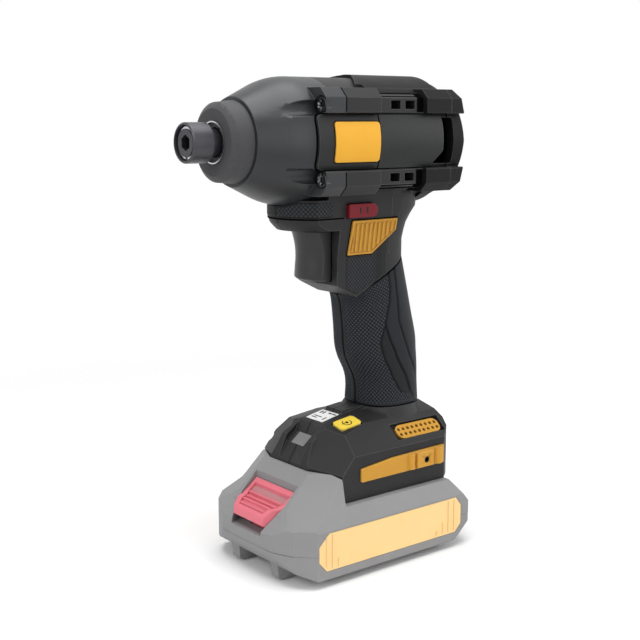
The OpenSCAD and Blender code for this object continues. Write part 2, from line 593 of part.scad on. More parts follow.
// screws of the housing: x, z and the place of the head on the right side
join = [[12, head_z - 33, -15.5], [-42.5, head_z - 35.5, -12.5], [3.6, foot_z + 16.9, 3 - foot_half],
  [-59.4, foot_z + 12, 5.6 - foot_half]];
module housing_bosses() translate([join[3][0], 0, join[3][1]]) rotate([90, 0, 0])
  cylinder(r = 3.6, h = 2 * foot_half - 16, center = true);
module housing() difference() {
  union() {
    difference() {
      union() {
        on_axis(barrel_back) cylinder(r = barrel_r, h = barrel_len - seam);
        four_corners() {
          along_x(vent_front, part_x - seam) rail2();
          along_x(guard_rail_x + 0.2, vent_front) rail2(-2.6, 22.4);
        }
        difference() {
          union() { shroud(); grip_solid(0, neck); }
          guard_room();
        }
        grip_solid(rubber_t, concat([core_low], stations, [core_high]));
        grip_solid(0, flare);
        foot_solid();
      }
      on_axis(barrel_back - 1) cylinder(r = barrel_in, h = barrel_len + 40);
      on_axis(part_x - seam) cylinder(r = barrel_r + 0.15, h = 40);
      // switch chamber, wire channel and neck passage
      across_y(23.6) polygon([[-8.4, trigger_low + 1.7], [-8.4, shroud_low + 2.7], [-34, shroud_low + 2.7],
        [-34, trigger_low + 1.7]]);
      across_y(20) polygon([[-16, lift(141)], [-38, lift(146)], [-44.5, lift(128)], [-51, lift(106)], [-53,
        lift(90)],
        [-53, foot_top - 8], [-30, foot_top - 8], [-30, lift(84)], [-26, lift(98)], [-22, lift(106)],
          [-20.5, lift(118)]]);
      across_y(16) polygon([[-24, shroud_low], [-38, shroud_low], [-38, head_z - 20], [-24, head_z - 20]]);
      // electronics chamber of the foot
      along_x(-57, 1) polygon([[6.15 - foot_half, roof_z + 2.2], [foot_half - 6.15, roof_z + 2.2],
        [foot_half - 6.15, foot_top - 14.2], [12, foot_top - 6], [-12, foot_top - 6], [6.15 - foot_half,
          foot_top - 14.2]]);
    }
    housing_bosses();
  }
  // trigger opening
  translate([-8.5, -trigger_w / 2 - 0.35, trigger_low - 0.35])
    cube([30, trigger_w + 0.7, trigger_top - trigger_low + 0.7]);
  translate([0, 0, selector_z]) across_y(100) selector_outline(0.35);
  // slide of the pack
  translate([-52, -tower_half - slide_gap, tower_lip_z - slide_gap])
    cube([90, 2 * (tower_half + slide_gap), roof_z - tower_lip_z + slide_gap]);
  translate([-52, -tower_neck - slide_gap, foot_z - 5]) cube([90, 2 * (tower_neck + slide_gap), 10]);
  // work light's channel and seats of the details
  across_y(17) polygon([[3.4, foot_top - 1.5], [7.2, foot_top - 8], [12.8, foot_top - 12.6], [18.2,
    foot_z + 14.2],
    [40, foot_z + 14.2], [40, foot_top + 8], [3.4, foot_top + 8]]);
  at_light() translate([-3.6, -4.9, -1.4]) cube([7.2, 9.8, 4]);
  at_button() translate([-6.9, -4.5, -3.8]) cube([13.8, 9, 9]);
  at_grille() across_y(9.4) polygon([[-15.2, -2.4], [14.6, -2.4], [17.8, 0.5], [17.8, 6], [-15.2, 6]]);
  both_sides() between_y(foot_half - 0.9, foot_half + 5) rail_outline(0.2);
  both_sides() between_y(foot_half - 5.6, foot_half) translate([hook_x, hook_z]) circle(r = 4.6);
  at_vent() between_y(-1.3, 6) vent_outline(0.15);
  // vents behind the front rails, and outlet of the fan
  four_corners() for (x = [guard_rail_x + 6, guard_rail_x + 15])
    translate([x, 15, 14.8]) cube([6, 30, 4]);
  both_sides() between_y(15, 45) translate([barrel_back, head_z])
    polygon([[-1, -11], [12, -11], [5.4, -3.5], [5.4, 11], [-1, 11]]);
  // screws
  four_corners() translate([0, screw_y, screw_z]) rotate([0, 90, 0]) translate([0, 0, part_x - 10])
    cylinder(r = 1.7, h = 30);
  for (j = join) translate([j[0], 0, j[1]]) rotate([90, 0, 0]) {
    translate([0, 0, -10.5]) cylinder(r = 1.6, h = 60);
    translate([0, 0, -j[2] - 2.4]) cylinder(r = 3.2, h = 40);
  }
}
module housing_left() color("#343436") intersection() {
  housing();
  translate([-150, seam, 0]) cube([300, 100, 300]);
}
module housing_right() color("#343436") intersection() {
  housing();
  translate([-150, -100 - seam, 0]) cube([300, 100, 300]);
}
module housing_screws() color("#9c9fa3") for (j = join)
  translate([j[0], j[2], j[1]]) rotate([90, 0, 0]) lobe_screw(1.5, 3, 2.3, 10 - j[2]);

// rear cover, guards and trim of the head
module rear_cover() color("#2c2c2f") difference() {
  union() {
    on_axis() rotate_extrude() polygon([
      [0, cover_back], [12, cover_back], [20, cover_back + 1.2], [25.5, cover_back + 4], [28.8,
        cover_back + 8],
      [barrel_r, barrel_back - 2], [barrel_r, barrel_back - seam], [0, barrel_back - seam]]);
    intersection() {
      union() {
        four_corners() along_x(barrel_back - 12, barrel_back - seam) rail2();
        both_sides() intersection() {
          tube(barrel_r - 1, barrel_r + 1, barrel_back - 10, barrel_back - seam);
          translate([-100, 0, head_z - 14]) cube([100, 60, 28]);
        }
      }
      translate([barrel_back, 0, head_z]) across_y(100) polygon([
        [0, 26], [-3.5, 25], [-6.5, 20], [-8.5, 13], [-9.5, 0], [-8.5, -13], [-6.5, -20], [-3.5, -25], [0,
          -26]]);
    }
  }
  on_axis() rotate_extrude() polygon([
    [9.8, barrel_back + 1], [barrel_in - 0.5, barrel_back + 1], [barrel_in - 0.5, barrel_back - 3.5],
    [20, cover_back + 4], [9.8, cover_back + 3]]);
  // outlet of the fan
  both_sides() translate([barrel_back - 2.4, 15, head_z - 11]) cube([5, 30, 22]);
  on_axis(rear_bearing_front - 4.1) cylinder(r = rear_bearing_r + snug, h = 20);
  on_axis(rear_bearing_front - 5) cylinder(r = shaft_r + 1, h = 20);
  four_corners() translate([barrel_back, screw_y, screw_z]) rotate([0, -90, 0]) {
    translate([0, 0, -5]) cylinder(r = 1.8, h = 30);
    translate([0, 0, 2]) cylinder(r = 3.3, h = 30);
  }
}
module cover_screws() color("#8f9296") four_corners()
  translate([barrel_back - 4.4, screw_y, screw_z]) rotate([0, -90, 0]) lobe_screw(1.5, 3, 2.3, 14);
module guard_rails() difference() {
  both_sides() translate([0, 0, head_z]) along_x(barrel_back + seam, guard_rail_x) rail2();
  on_axis(barrel_back - 1) cylinder(r = barrel_r + snug, h = 80);
  four_corners() translate([barrel_back, screw_y, screw_z]) rotate([0, 90, 0]) translate([0, 0, -2])
    cylinder(r = 1.7, h = 14);
}
module rear_guard_top() color("#252527") union() {
  guard_rails();
  intersection() {
    tube(barrel_r + snug, barrel_r + 1.6, barrel_back + seam, part_x);
    linear_extrude(400) polygon([[part_x - 25, -4], [part_x - 25, 4], [part_x - 17, 16.8],
      [vent_front - 0.3, 16.8],
      [vent_front - 0.3, 26], [-100, 26], [-100, -26], [vent_front - 0.3, -26], [vent_front - 0.3, -16.8],
      [part_x - 17, -16.8]]);
    translate([-100, -50, head_z + 22.7]) cube([200, 100, 30]);
  }
}
module rear_guard_bottom() color("#252527") union() {
  translate([0, 0, 2 * head_z]) mirror([0, 0, 1]) guard_rails();
  intersection() {
    tube(barrel_r + snug, barrel_r + 1.6, barrel_back + seam, -51.6);
    translate([-100, -50, head_z - 52.7]) cube([200, 100, 30]);
  }
}
module panel_left() intersection() {
  difference() {
    tube(barrel_r + snug, barrel_r + 1.3, -54, part_x + 16);
    tube(barrel_r + 0.6, barrel_r + 5, vent_front - 0.4, vent_front);
  }
  between_y(0, 60) translate([0, head_z]) difference() {
    rounded_box2(barrel_back + 4.6, -panel_half, part_x + 14.7, panel_half, 3);
    polygon([[barrel_back + 4, -panel_half - 1], [barrel_back + 13, -panel_half - 1], [barrel_back + 4,
      -panel_half + 8]]);
  }
}
module side_panel_left() color("#2b2b2e") panel_left();
module side_panel_right() color("#2b2b2e") mirror([0, 1, 0]) panel_left();
module badge_plates() color("#efc04e") both_sides() intersection() {
  tube(barrel_r + 1.35, barrel_r + 1.9, -30, part_x + 16);
  between_y(0, 60) translate([0, head_z]) rounded_box2(part_x - 20.7, 3.2 - panel_half, part_x + 5.8,
    panel_half - 3.2, 1.5);
}

// trigger, switch and selector
switch_x = -16.5;
stem_x = switch_x + trigger_travel + 2;
trigger_mid = (trigger_low + trigger_top) / 2;
// upright axis that the trigger's front is turned about
trigger_axis = -4;
module trigger() color("#2a2a2c") union() {
  intersection() {
    translate([trigger_axis, 0, 0]) rotate_extrude($fn = 96) polygon(concat([[0, trigger_top]],
      arc([49.75, trigger_mid - 0.45], 36, 160, 187, 8),
      [[14.4, trigger_low + 1.2], [13, trigger_low], [0, trigger_low]]));
    translate([0.4, -trigger_w / 2, 0]) cube([40, trigger_w, 300]);
  }
  translate([stem_x, -7, trigger_mid - 8]) cube([0.4 - stem_x + 1, 14, 16]);
  translate([stem_x - 4, 0, trigger_mid]) rotate([0, 90, 0]) cylinder(r = 1.6, h = 6);
}
module trigger_spring() color("#b9bcc2") translate([switch_x + 0.2, 0, trigger_mid]) rotate([0, 90, 0])
  coil_spring(3.2, 0.8, stem_x - switch_x - 0.4, 4);
module trigger_switch() color("#1f1f22") difference() {
  union() {
    translate([-33.7, -11.5, trigger_low + 2]) cube([switch_x + 33.7, 23, shroud_low - trigger_low + 0.4]);
  }
  translate([switch_x - 9, 0, trigger_mid]) rotate([0, 90, 0]) cylinder(r = 2.1, h = 20);
}
module direction_selector() color("#8f2530") translate([0, 0, selector_z]) across_y(selector_len)
  selector_outline();
module vent_panels() color("#c9a03d") at_vent() union() {
  between_y(-1.2, 0.2) vent_outline();
  between_y(-0.5, 1) intersection() {
    vent_outline(-1.6);
    union() for (i = [0:9]) translate([-7.9 - i * 2.7, -12]) square([1.2, 24]);
  }
  between_y(-0.5, 0.9) difference() { vent_outline(); vent_outline(-0.9); }
}

// details of the foot
module work_light() color("#9a9c9e") at_light() translate([-3.5, -4.8, -1.3]) cube([7, 9.6, 1.8]);
module mode_button() color("#f0cf2e") at_button() translate([0, 0, -2.6]) linear_extrude(3.2)
  rounded_box2(-6.5, -4.1, 6.5, 4.1, 2);
module mode_label() color("#f2f2f0") at_label() translate([-5.5, -6.4, 0.05]) cube([11, 12.8, 0.3]);
module foot_grilles() color("#c9a03d") at_grille() translate([0, 0, -2.3]) linear_extrude(1.4) difference() {
  rounded_box2(-14.3, -4, 14.3, 4, 3.6);
  for (i = [-4:4], j = [-1, 1]) translate([i * 3.05, j * 1.5]) circle(r = 0.95, $fn = 24);
}
module accessory_rails() color("#d9ac45") both_sides() difference() {
  union() {
    between_y(foot_half - 0.8, foot_half + 0.9) rail_outline();
    between_y(foot_half - 0.8, foot_half + 2.6) translate([hook_x - 4.7, hook_z - 3.6]) square([11, 7.9]);
    between_y(foot_half - 5.2, foot_half) translate([hook_x, hook_z]) circle(r = 4.5);
    // rounded ribs on both sides of the block
    intersection() {
      union() {
        translate([hook_x + 9.4, foot_half + 0.6, foot_z + 9.2]) cylinder(r = 2.2, h = 7.8);
        translate([hook_x - 9.2, foot_half - 0.4, foot_z + 9]) cylinder(r = 3.2, h = 8.4);
      }
      translate([-100, foot_half - 0.5, 0]) cube([200, 20, 200]);
    }
  }
  between_y(foot_half - 4.2, foot_half + 9) translate([hook_x, hook_z]) circle(r = 1.65);
}
module controller_board() color("#2f6b45") union() {
  translate([-48, -23, roof_z + 2.5]) cube([46, 46, 1.6]);
  for (y = [-14, 0, 14]) translate([-14, y - 4, roof_z + 3]) cube([9, 8, 4.5]);
  translate([-40, -9, roof_z + 3]) cube([14, 18, 2.6]);
}
blade_y = [-15, -5, 5, 15];
module terminal_block() color("#3a3a40") union() {
  translate([-51.8, -22, tower_lip_z - 0.3]) cube([5.3, 44, roof_z - tower_lip_z + 0.2]);
  for (y = blade_y) translate([-47, y - 0.5, tower_lip_z + 0.7]) cube([15, 1, 3]);
}

// battery pack
pack_half = pack_w / 2;
slope_top = foot_z + 13.6;
latch_x = pack_front - 44;
corner_n = [0.7839, 0.6209, 1.64];
block_n = [0.7839, 0.6209, 0.82];
module corner_cut(d) both_sides() beyond(corner_n, corner_n * [pack_front - 13, pack_half - 4, 30.05] - d);
module block_cut() both_sides() beyond(block_n, block_n * [pack_front - 24, pack_half - 9, 39.9]);
module pack_solid() intersection() {
  union() {
    difference() {
      across_y(200) polygon([
        [pack_back + 15.6, skid_h], [pack_front - 16, skid_h], [pack_front - 6, skid_h + 4.5],
        [pack_front - 2, skid_h + 9], [pack_front, skid_h + 14], [pack_front, skid_h + 20],
        [pack_front - 3, skid_h + 24], [pack_front - 10.9, pack_top], [pack_back + 16.6, pack_top],
        [pack_back + 6.2, pack_top - 12.2], [pack_back, pack_top - 15.2], [pack_back, skid_h + 10.5],
        [pack_back + 6.2, skid_h + 8.6]]);
      corner_cut(0);
    }
    // block in front of the foot
    difference() {
      across_y(200) polygon([[9, pack_top - 4], [pack_front - 6.9, pack_top - 4], [pack_front - 24.3,
        slope_top],
        [18.2, slope_top + 0.2], [9, slope_top + 0.2]]);
      block_cut();
      intersection() {
        across_y(200) polygon([[-100, pack_top], [10.4, pack_top], [18.2, slope_top + 0.2], [18.2, 100],
          [-100, 100]]);
        linear_extrude(150) polygon([[-100, -60], [10.1, -60], [10.1, -foot_half - 0.55], [18.5,
          17.55 - foot_half],
          [18.5, foot_half - 17.55], [10.1, foot_half + 0.55], [10.1, 60], [-100, 60]]);
      }
    }
  }
  along_x(-100, 100) polygon([
    [1 - pack_half, skid_h], [pack_half - 1, skid_h], [pack_half, skid_h + 1], [pack_half, pack_top - 8],
    [pack_half - 3.84, pack_top], [pack_half - 4.8, pack_top + 2], [pack_half - 7.5, slope_top + 1],
    [7.5 - pack_half, slope_top + 1], [4.8 - pack_half, pack_top + 2], [3.84 - pack_half, pack_top],
    [-pack_half, pack_top - 8], [-pack_half, skid_h + 1]]);
  linear_extrude(150) polygon([for (s = [1, -1]) each
    let (p = [[pack_front, 8], [pack_front - 1, 21], [pack_front - 5.2, pack_half - 8], [pack_front - 13,
      pack_half],
      [pack_back + 6.2, pack_half], [pack_back, pack_half - 8]])
    [for (i = [0:5]) [p[s > 0 ? i : 5 - i][0], s * p[s > 0 ? i : 5 - i][1]]]]);
}
latch_plan = [[25.5, 16.5], [33, 16.5], [38.5, 14], [42.8, 11.8]];
module latch_outline(d) polygon([for (s = [1, -1]) each [for (i = [0:3])
  let (q = latch_plan[s > 0 ? i : 3 - i])
  [q[0] + (i == (s > 0 ? 0 : 3) ? -d : d), s * (q[1] + d)]]]);
arm_z = foot_z - 1.5;
hollow_top = pack_top - 5.5;
module pack_latch() color("#e58f98") translate([latch_x, 0, 0]) union() {
  difference() {
    intersection() {
      across_y(60) polygon([[25.5, 40.2], [31, 35.6], [34.5, 33.7], [38.2, 33.5], [42.3, 30.2], [42.6, 26.2],
        [38.7, 25], [33, 26.6], [25.5, 34]]);
      linear_extrude(100) latch_outline(0);
    }
    // dish inside the rim
    intersection() {
      across_y(60) polygon([[27, 37.3], [31, 34.1], [34.5, 32.3], [38.2, 32.1], [41, 29.8], [41, 60], [27,
        60]]);
      linear_extrude(100) latch_outline(-2.2);
    }
  }
  // bars for the finger: place, top and half width
  for (b = [[31.8, 35.2, 13.4], [34.3, 33.9, 12.3], [37, 33.5, 11], [39.4, 32.3, 9.8]])
    translate([b[0] - 0.65, -b[2], b[1] - 2]) cube([1.3, 2 * b[2], 2]);
  translate([31, -5, pack_seam_z + 3]) cube([5, 10, 12]);
  translate([6, -6, arm_z]) cube([21, 12, 3]);
  translate([6, -6, arm_z]) cube([4, 12, tower_top - arm_z + 0.1]);
}
module latch_spring() color("#b9bcc2") translate([latch_x + 33.5, 0, skid_h + 6.1])
  coil_spring(2.8, 0.8, pack_seam_z - skid_h - 3.3, 4);
module label_outline(d = 0) polygon([[pack_front - 20.5 + d, 26.2 + d], [pack_front - 14.5 + d, 20.5],
  [pack_front - 14.5 + d, 13], [pack_front - 19 + d, 7.9 - d], [pack_back + 15.5 - d, 7.9 - d],
  [pack_back + 11.5 - d, 12], [pack_back + 11.5 - d, 21.5], [pack_back + 15.1 - d, 26.2 + d]]);
module pack_hollow() {
  intersection() {
    along_x(pack_back + 8, pack_back + 103) polygon([
      [5.4 - pack_half, floor_z], [pack_half - 5.4, floor_z], [pack_half - pack_wall - 0.4, floor_z + 3.4],
      [pack_half - pack_wall - 0.4, pack_top - 11], [pack_half - pack_wall - 3.4, hollow_top],
      [3.4 + pack_wall - pack_half, hollow_top], [0.4 + pack_wall - pack_half, pack_top - 11],
      [0.4 + pack_wall - pack_half, floor_z + 3.4]]);
    difference() {
      across_y(200) polygon([[pack_back + 21.1, skid_h - 3], [60, skid_h - 3], [60, hollow_top],
        [pack_back + 15.5, hollow_top], [pack_back + 9.4, hollow_top - 7.1], [pack_back + 9.4,
          skid_h + 7.7]]);
      corner_cut(5);
    }
  }
  // tower, arm and hook of the latch
  translate([tower_back + 2, -17.4, hollow_top - 1]) cube([50, 34.8, tower_top - 1 - hollow_top]);
  translate([latch_x, 0, 0]) {
    translate([4.5, -6.6, arm_z - latch_travel - 0.6]) cube([24, 13.2, latch_travel + 4]);
    translate([5.4, -6.6, arm_z - 3]) cube([5.2, 13.2, 40]);
    // latch, its stem and its spring
    intersection() {
      across_y(60) polygon([[25, 80], [80, 80], [80, 21.4], [38.3, 21.4], [32.6, 23], [25, 30.2]]);
      linear_extrude(100) union() {
        latch_outline(0.45);
        translate([40, -12.2]) square([40, 24.4]);
      }
    }
    translate([30, -6, skid_h + 6]) cube([7, 12, 20]);
  }
}
module pack_case() difference() {
  union() {
    pack_solid();
    both_sides() between_y(13, 19) polygon([[pack_back + 17, skid_h + 1], [pack_back + 20, 0],
      [pack_front - 9, 0],
      [pack_front - 5.7, 1.4], [pack_front - 5.2, skid_h + 5.5], [pack_front - 14, skid_h + 5],
      [pack_front - 17, skid_h + 1]]);
    translate([tower_back, -tower_neck, pack_top - 1]) cube([56, 2 * tower_neck, tower_top - pack_top + 1]);
    intersection() {
      translate([tower_back, -tower_half, tower_lip_z]) cube([70, 2 * tower_half, tower_top - tower_lip_z]);
      difference() {
        translate([tower_back - 1, -50, 0]) cube([21 - tower_back, 100, slope_top]);
        block_cut();
      }
    }
  }
  pack_hollow();
  for (y = blade_y) translate([tower_back - 1, y - 1, tower_lip_z + 0.2]) cube([5, 2, 4]);
  both_sides() between_y(pack_half - 0.6, pack_half + 5) label_outline(0.15);
}
module pack_lower_case() color("#8d8e90") intersection() {
  pack_case();
  translate([-100, -100, -1]) cube([200, 200, pack_seam_z + 1 - 0.05]);
}
module pack_upper_case() color("#96979a") intersection() {
  pack_case();
  translate([-100, -100, pack_seam_z + 0.05]) cube([200, 200, 100]);
}
module pack_labels() color("#f3dca6") both_sides() between_y(pack_half - 0.5, pack_half) label_outline();
module pack_cells() color("#3f6fb0") for (i = [0:cell_count - 1])
  translate([pack_back + 19 + i * cell_pitch, cell_len / 2, cell_z]) rotate([90, 0, 0])
  cylinder(r = cell_r, h = cell_len);
module pack_board() color("#2f6b45") union() {
  translate([-46, 13 - pack_half, board_z]) cube([50, pack_w - 26, 1.6]);
  for (y = blade_y, s = [-1, 1]) translate([-41, y + s * 1.4 - 0.3, board_z + 1]) cube([11, 0.6,
    tower_top - 3 - board_z - 1]);
  translate([-20, -12, board_z + 1]) cube([16, 10, 2.4]);
}

bit_sleeve();
sleeve_spring();
sleeve_washer();
sleeve_clip();
detent_balls();
anvil();
anvil_bush();
nose_bumper();
hammer_case();
case_screws();
hammer();
hammer_spring();
cam_spindle();
cam_balls();
planet_gear_1();
planet_gear_2();
planet_gear_3();
planet_pins();
ring_gear();
gear_plate();
spindle_bearing();
motor_shaft();
rotor_core();
cooling_fan();
front_bearing();
rear_bearing();
stator_core();
stator_coils();
hall_board();
housing_left();
housing_right();
housing_screws();
rear_cover();
cover_screws();
rear_guard_top();
rear_guard_bottom();
side_panel_left();
side_panel_right();
badge_plates();
trigger();
trigger_spring();
trigger_switch();
direction_selector();
vent_panels();
grip_left();
grip_right();
work_light();
mode_button();
mode_label();
foot_grilles();
accessory_rails();
controller_board();
terminal_block();
pack_lower_case();
pack_upper_case();
pack_latch();
latch_spring();
pack_labels();
pack_cells();
pack_board();
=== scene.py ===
import json
from math import radians
import bmesh
import bpy
import numpy as np
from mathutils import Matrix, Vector


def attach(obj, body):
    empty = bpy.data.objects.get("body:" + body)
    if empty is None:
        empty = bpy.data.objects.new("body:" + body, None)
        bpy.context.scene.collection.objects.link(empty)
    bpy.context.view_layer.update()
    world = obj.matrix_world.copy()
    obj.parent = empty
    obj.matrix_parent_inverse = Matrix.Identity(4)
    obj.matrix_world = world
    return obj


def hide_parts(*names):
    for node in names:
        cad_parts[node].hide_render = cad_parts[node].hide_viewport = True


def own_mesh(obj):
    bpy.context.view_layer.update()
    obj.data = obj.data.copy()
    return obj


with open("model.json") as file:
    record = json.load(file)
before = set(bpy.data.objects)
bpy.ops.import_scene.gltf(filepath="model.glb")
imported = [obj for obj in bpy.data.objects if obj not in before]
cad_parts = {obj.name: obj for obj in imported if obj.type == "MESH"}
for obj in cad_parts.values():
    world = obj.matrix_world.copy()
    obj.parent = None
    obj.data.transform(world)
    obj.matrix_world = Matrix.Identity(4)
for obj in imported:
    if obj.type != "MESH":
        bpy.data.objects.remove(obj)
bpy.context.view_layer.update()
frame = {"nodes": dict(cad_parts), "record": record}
nodes = frame["nodes"]
bodyOf = {n: b for b, members in frame["record"]["behaviour"]["bodies"].items() for n in members}
print("frame:", len(nodes), "nodes")

# camera, as fitted to the photograph: place and nearest distance in m, line of sight, lens and sensor in mm
camera = {"eye": (0.33842, 0.42939, 0.21612), "look": (-0.6113, -0.7717, -0.1755), "lens": 64.03, "sensor": 36.0,
          "near": 0.01}
lensData = bpy.data.cameras.new("photoCamera")
lensData.lens, lensData.sensor_width = camera["lens"], camera["sensor"]
lensData.clip_start = camera["near"]
eye = bpy.data.objects.new("photoCamera", lensData)
eye.location = camera["eye"]
eye.rotation_euler = Vector(camera["look"]).to_track_quat("-Z", "Y").to_euler()
bpy.context.scene.collection.objects.link(eye)
bpy.context.scene.camera = eye
bpy.context.scene.view_settings.view_transform = "Standard"


def linear(hexText, alpha=1.0):
    # sRGB hex to scene linear, channel by channel
    c = np.array([int(hexText[i:i + 2], 16) for i in (1, 3, 5)]) / 255.0
    c = np.where(c <= 0.04045, c / 12.92, ((c + 0.055) / 1.055) ** 2.4)
    return (*c.tolist(), alpha)


def put(tree, kind, settings=(), links=()):
    # adds one node; a key is a property, a socket name or a socket number
    node = tree.nodes.new(kind)
    for key, value in dict(settings).items():
        if isinstance(key, str) and hasattr(node, key):
            setattr(node, key, value)
        else:
            node.inputs[key].default_value = value
    for key, source in dict(links).items():
        tree.links.new(source, node.inputs[key])
    return node


# noise that counts as least and most, and how far roughness falls and rises with it
noiseSpan = {"From Min": 0.3, "From Max": 0.7}
plasticSpan, metalSpan = (0.05, 0.06), (0.06, 0.08)
# cosine between true and rounded normal on plain skin and on edges that take the full paler colour of wear and painted
# highlight
edgeScuffHighlightSpan = {"From Min": 0.99, "From Max": 0.8}
# depth of the bump in m, stretch of the tool marks round the axis, colour of the painted shade along a parting line
plasticBump, metalBump = 0.0003, 0.0002
markStretch = 40
seamShadeBlack = "#050505"


def newFinish(name):
    finish = bpy.data.materials.new(name)
    finish.use_nodes = True
    finish.node_tree.nodes.clear()
    return finish, finish.node_tree


def plasticFinish(look):
    # moulded plastic: eroded-mould grain as a fine bump, slow cloudy tone, paler edges that are wear and painted
    # highlight, painted shade and dirt in the grooves of cut patterns with painted highlight and polish on their tops
    # (attribute hollow), and painted shade along the parting line in the plane y = 0
    finish, tree = newFinish(look["name"])
    place = put(tree, "ShaderNodeTexCoord").outputs["Object"]
    grain = put(tree, "ShaderNodeTexNoise", {"Scale": 1000 / look["grainMm"], "Detail": 3.0}, {"Vector": place})
    cloud = put(tree, "ShaderNodeTexNoise", {"Scale": 1000 / look["cloudMm"], "Detail": 4.0}, {"Vector": place})
    tone = put(tree, "ShaderNodeMix", {"data_type": "RGBA", 6: linear(look["dark"]), 7: linear(look["pale"])},
               {0: cloud.outputs["Fac"]})
    rounded = put(tree, "ShaderNodeBevel", {"samples": 4, "Radius": look["edgeMm"] / 1000})
    flat = put(tree, "ShaderNodeNewGeometry")
    meet = put(tree, "ShaderNodeVectorMath", {"operation": "DOT_PRODUCT"},
               {0: rounded.outputs["Normal"], 1: flat.outputs["Normal"]})
    # paler edges, wear and painted highlight in one, where the rounded normal turns from the true one
    edge = put(tree, "ShaderNodeMapRange", {**edgeScuffHighlightSpan, "To Max": look["wear"]}, {"Value": meet.outputs["Value"]})
    edgeScuffHighlight = put(tree, "ShaderNodeMath", {"operation": "MULTIPLY"}, {0: edge.outputs["Result"], 1: cloud.outputs["Fac"]})
    scuffedAndShadedColour = put(tree, "ShaderNodeMix", {"data_type": "RGBA", 7: linear(look["scuffAndHighlightColour"])},
               {0: edgeScuffHighlight.outputs["Value"], 6: tone.outputs[2]})
    colour = scuffedAndShadedColour.outputs[2]
    if look["dirt"]:
        # hollow runs from -1 on the pattern's tops, which take painted highlight and polish, over 0 on plain skin to 1
        # in its grooves, which take painted shade and dirt
        hollow = put(tree, "ShaderNodeAttribute", {"attribute_name": "hollow"})
        top = put(tree, "ShaderNodeMapRange", {"From Min": 0.0, "From Max": -1.0}, {"Value": hollow.outputs["Fac"]})
        scuffedAndShadedColour = put(tree, "ShaderNodeMix", {"data_type": "RGBA", 7: linear(look["polished"])},
                   {0: top.outputs["Result"], 6: colour})
        groove = put(tree, "ShaderNodeMapRange", {}, {"Value": hollow.outputs["Fac"]})
        scuffedAndShadedColour = put(tree, "ShaderNodeMix", {"data_type": "RGBA", 7: linear(look["dirt"])},
                   {0: groove.outputs["Result"], 6: scuffedAndShadedColour.outputs[2]})
        colour = scuffedAndShadedColour.outputs[2]
    # painted shade: a black line along the parting line in the plane y = 0
    if look["seamMm"]:
        across = put(tree, "ShaderNodeSeparateXYZ", {}, {"Vector": place})
        off = put(tree, "ShaderNodeMath", {"operation": "ABSOLUTE"}, {0: across.outputs["Y"]})
        line = put(tree, "ShaderNodeMath", {"operation": "LESS_THAN", 1: look["seamMm"] / 1000},
                   {0: off.outputs["Value"]})
        scuffedAndShadedColour = put(tree, "ShaderNodeMix", {"data_type": "RGBA", 7: linear(seamShadeBlack)},
                   {0: line.outputs["Value"], 6: colour})
        colour = scuffedAndShadedColour.outputs[2]
    gloss = put(tree, "ShaderNodeMapRange", {**noiseSpan, "To Min": look["rough"] - plasticSpan[0],
                                             "To Max": look["rough"] + plasticSpan[1]}, {"Value": cloud.outputs["Fac"]})
    bump = put(tree, "ShaderNodeBump", {"Strength": look["bump"], "Distance": plasticBump},
               {"Height": grain.outputs["Fac"], "Normal": rounded.outputs["Normal"]})
    skin = put(tree, "ShaderNodeBsdfPrincipled", {"Specular IOR Level": look["shine"]},
               {"Base Color": colour, "Roughness": gloss.outputs["Result"], "Normal": bump.outputs["Normal"]})
    put(tree, "ShaderNodeOutputMaterial", {}, {"Surface": skin.outputs["BSDF"]})
    return finish


def metalFinish(look):
    # bare metal: tool marks as fine rings round the X axis, patchy polish, dulled low spots
    finish, tree = newFinish(look["name"])
    place = put(tree, "ShaderNodeTexCoord").outputs["Object"]
    squeezed = put(tree, "ShaderNodeMapping", {"Scale": (1000 / look["markMm"], markStretch, markStretch)},
                   {"Vector": place})
    marks = put(tree, "ShaderNodeTexNoise", {"Scale": 1.0, "Detail": 2.0}, {"Vector": squeezed.outputs["Vector"]})
    cloud = put(tree, "ShaderNodeTexNoise", {"Scale": 1000 / look["cloudMm"], "Detail": 4.0}, {"Vector": place})
    tone = put(tree, "ShaderNodeMix", {"data_type": "RGBA", 6: linear(look["dark"]), 7: linear(look["pale"])},
               {0: cloud.outputs["Fac"]})
    gloss = put(tree, "ShaderNodeMapRange", {**noiseSpan, "To Min": look["rough"] - metalSpan[0],
                                             "To Max": look["rough"] + metalSpan[1]}, {"Value": marks.outputs["Fac"]})
    bump = put(tree, "ShaderNodeBump", {"Strength": look["bump"], "Distance": metalBump},
               {"Height": marks.outputs["Fac"]})
    skin = put(tree, "ShaderNodeBsdfPrincipled", {"Metallic": look["metal"]},
               {"Base Color": tone.outputs[2], "Roughness": gloss.outputs["Result"], "Normal": bump.outputs["Normal"]})
    put(tree, "ShaderNodeOutputMaterial", {}, {"Surface": skin.outputs["BSDF"]})
    return finish


def plastic(name, dark, pale, scuffAndHighlightColour, **more):
    # grain of 0.9 mm is coarser than the mould's 0.2 mm, so that it shows
    # the paler edge colour and its share stand for wear and painted highlight in one
    look = {"rough": 0.5, "bump": 0.2, "grainMm": 0.9, "cloudMm": 14, "wear": 0.6, "shine": 0.2, "edgeMm": 0.6,
            "dirt": "", "polished": "", "seamMm": 0.0}
    return plasticFinish({**look, "name": name, "dark": dark, "pale": pale, "scuffAndHighlightColour": scuffAndHighlightColour, **more})


def metal(name, dark, pale, rough=0.3, metallic=1.0, bump=0.15, markMm=0.5, cloudMm=9):
    return metalFinish({"name": name, "dark": dark, "pale": pale, "rough": rough, "metal": metallic, "bump": bump,
                        "markMm": markMm, "cloudMm": cloudMm})


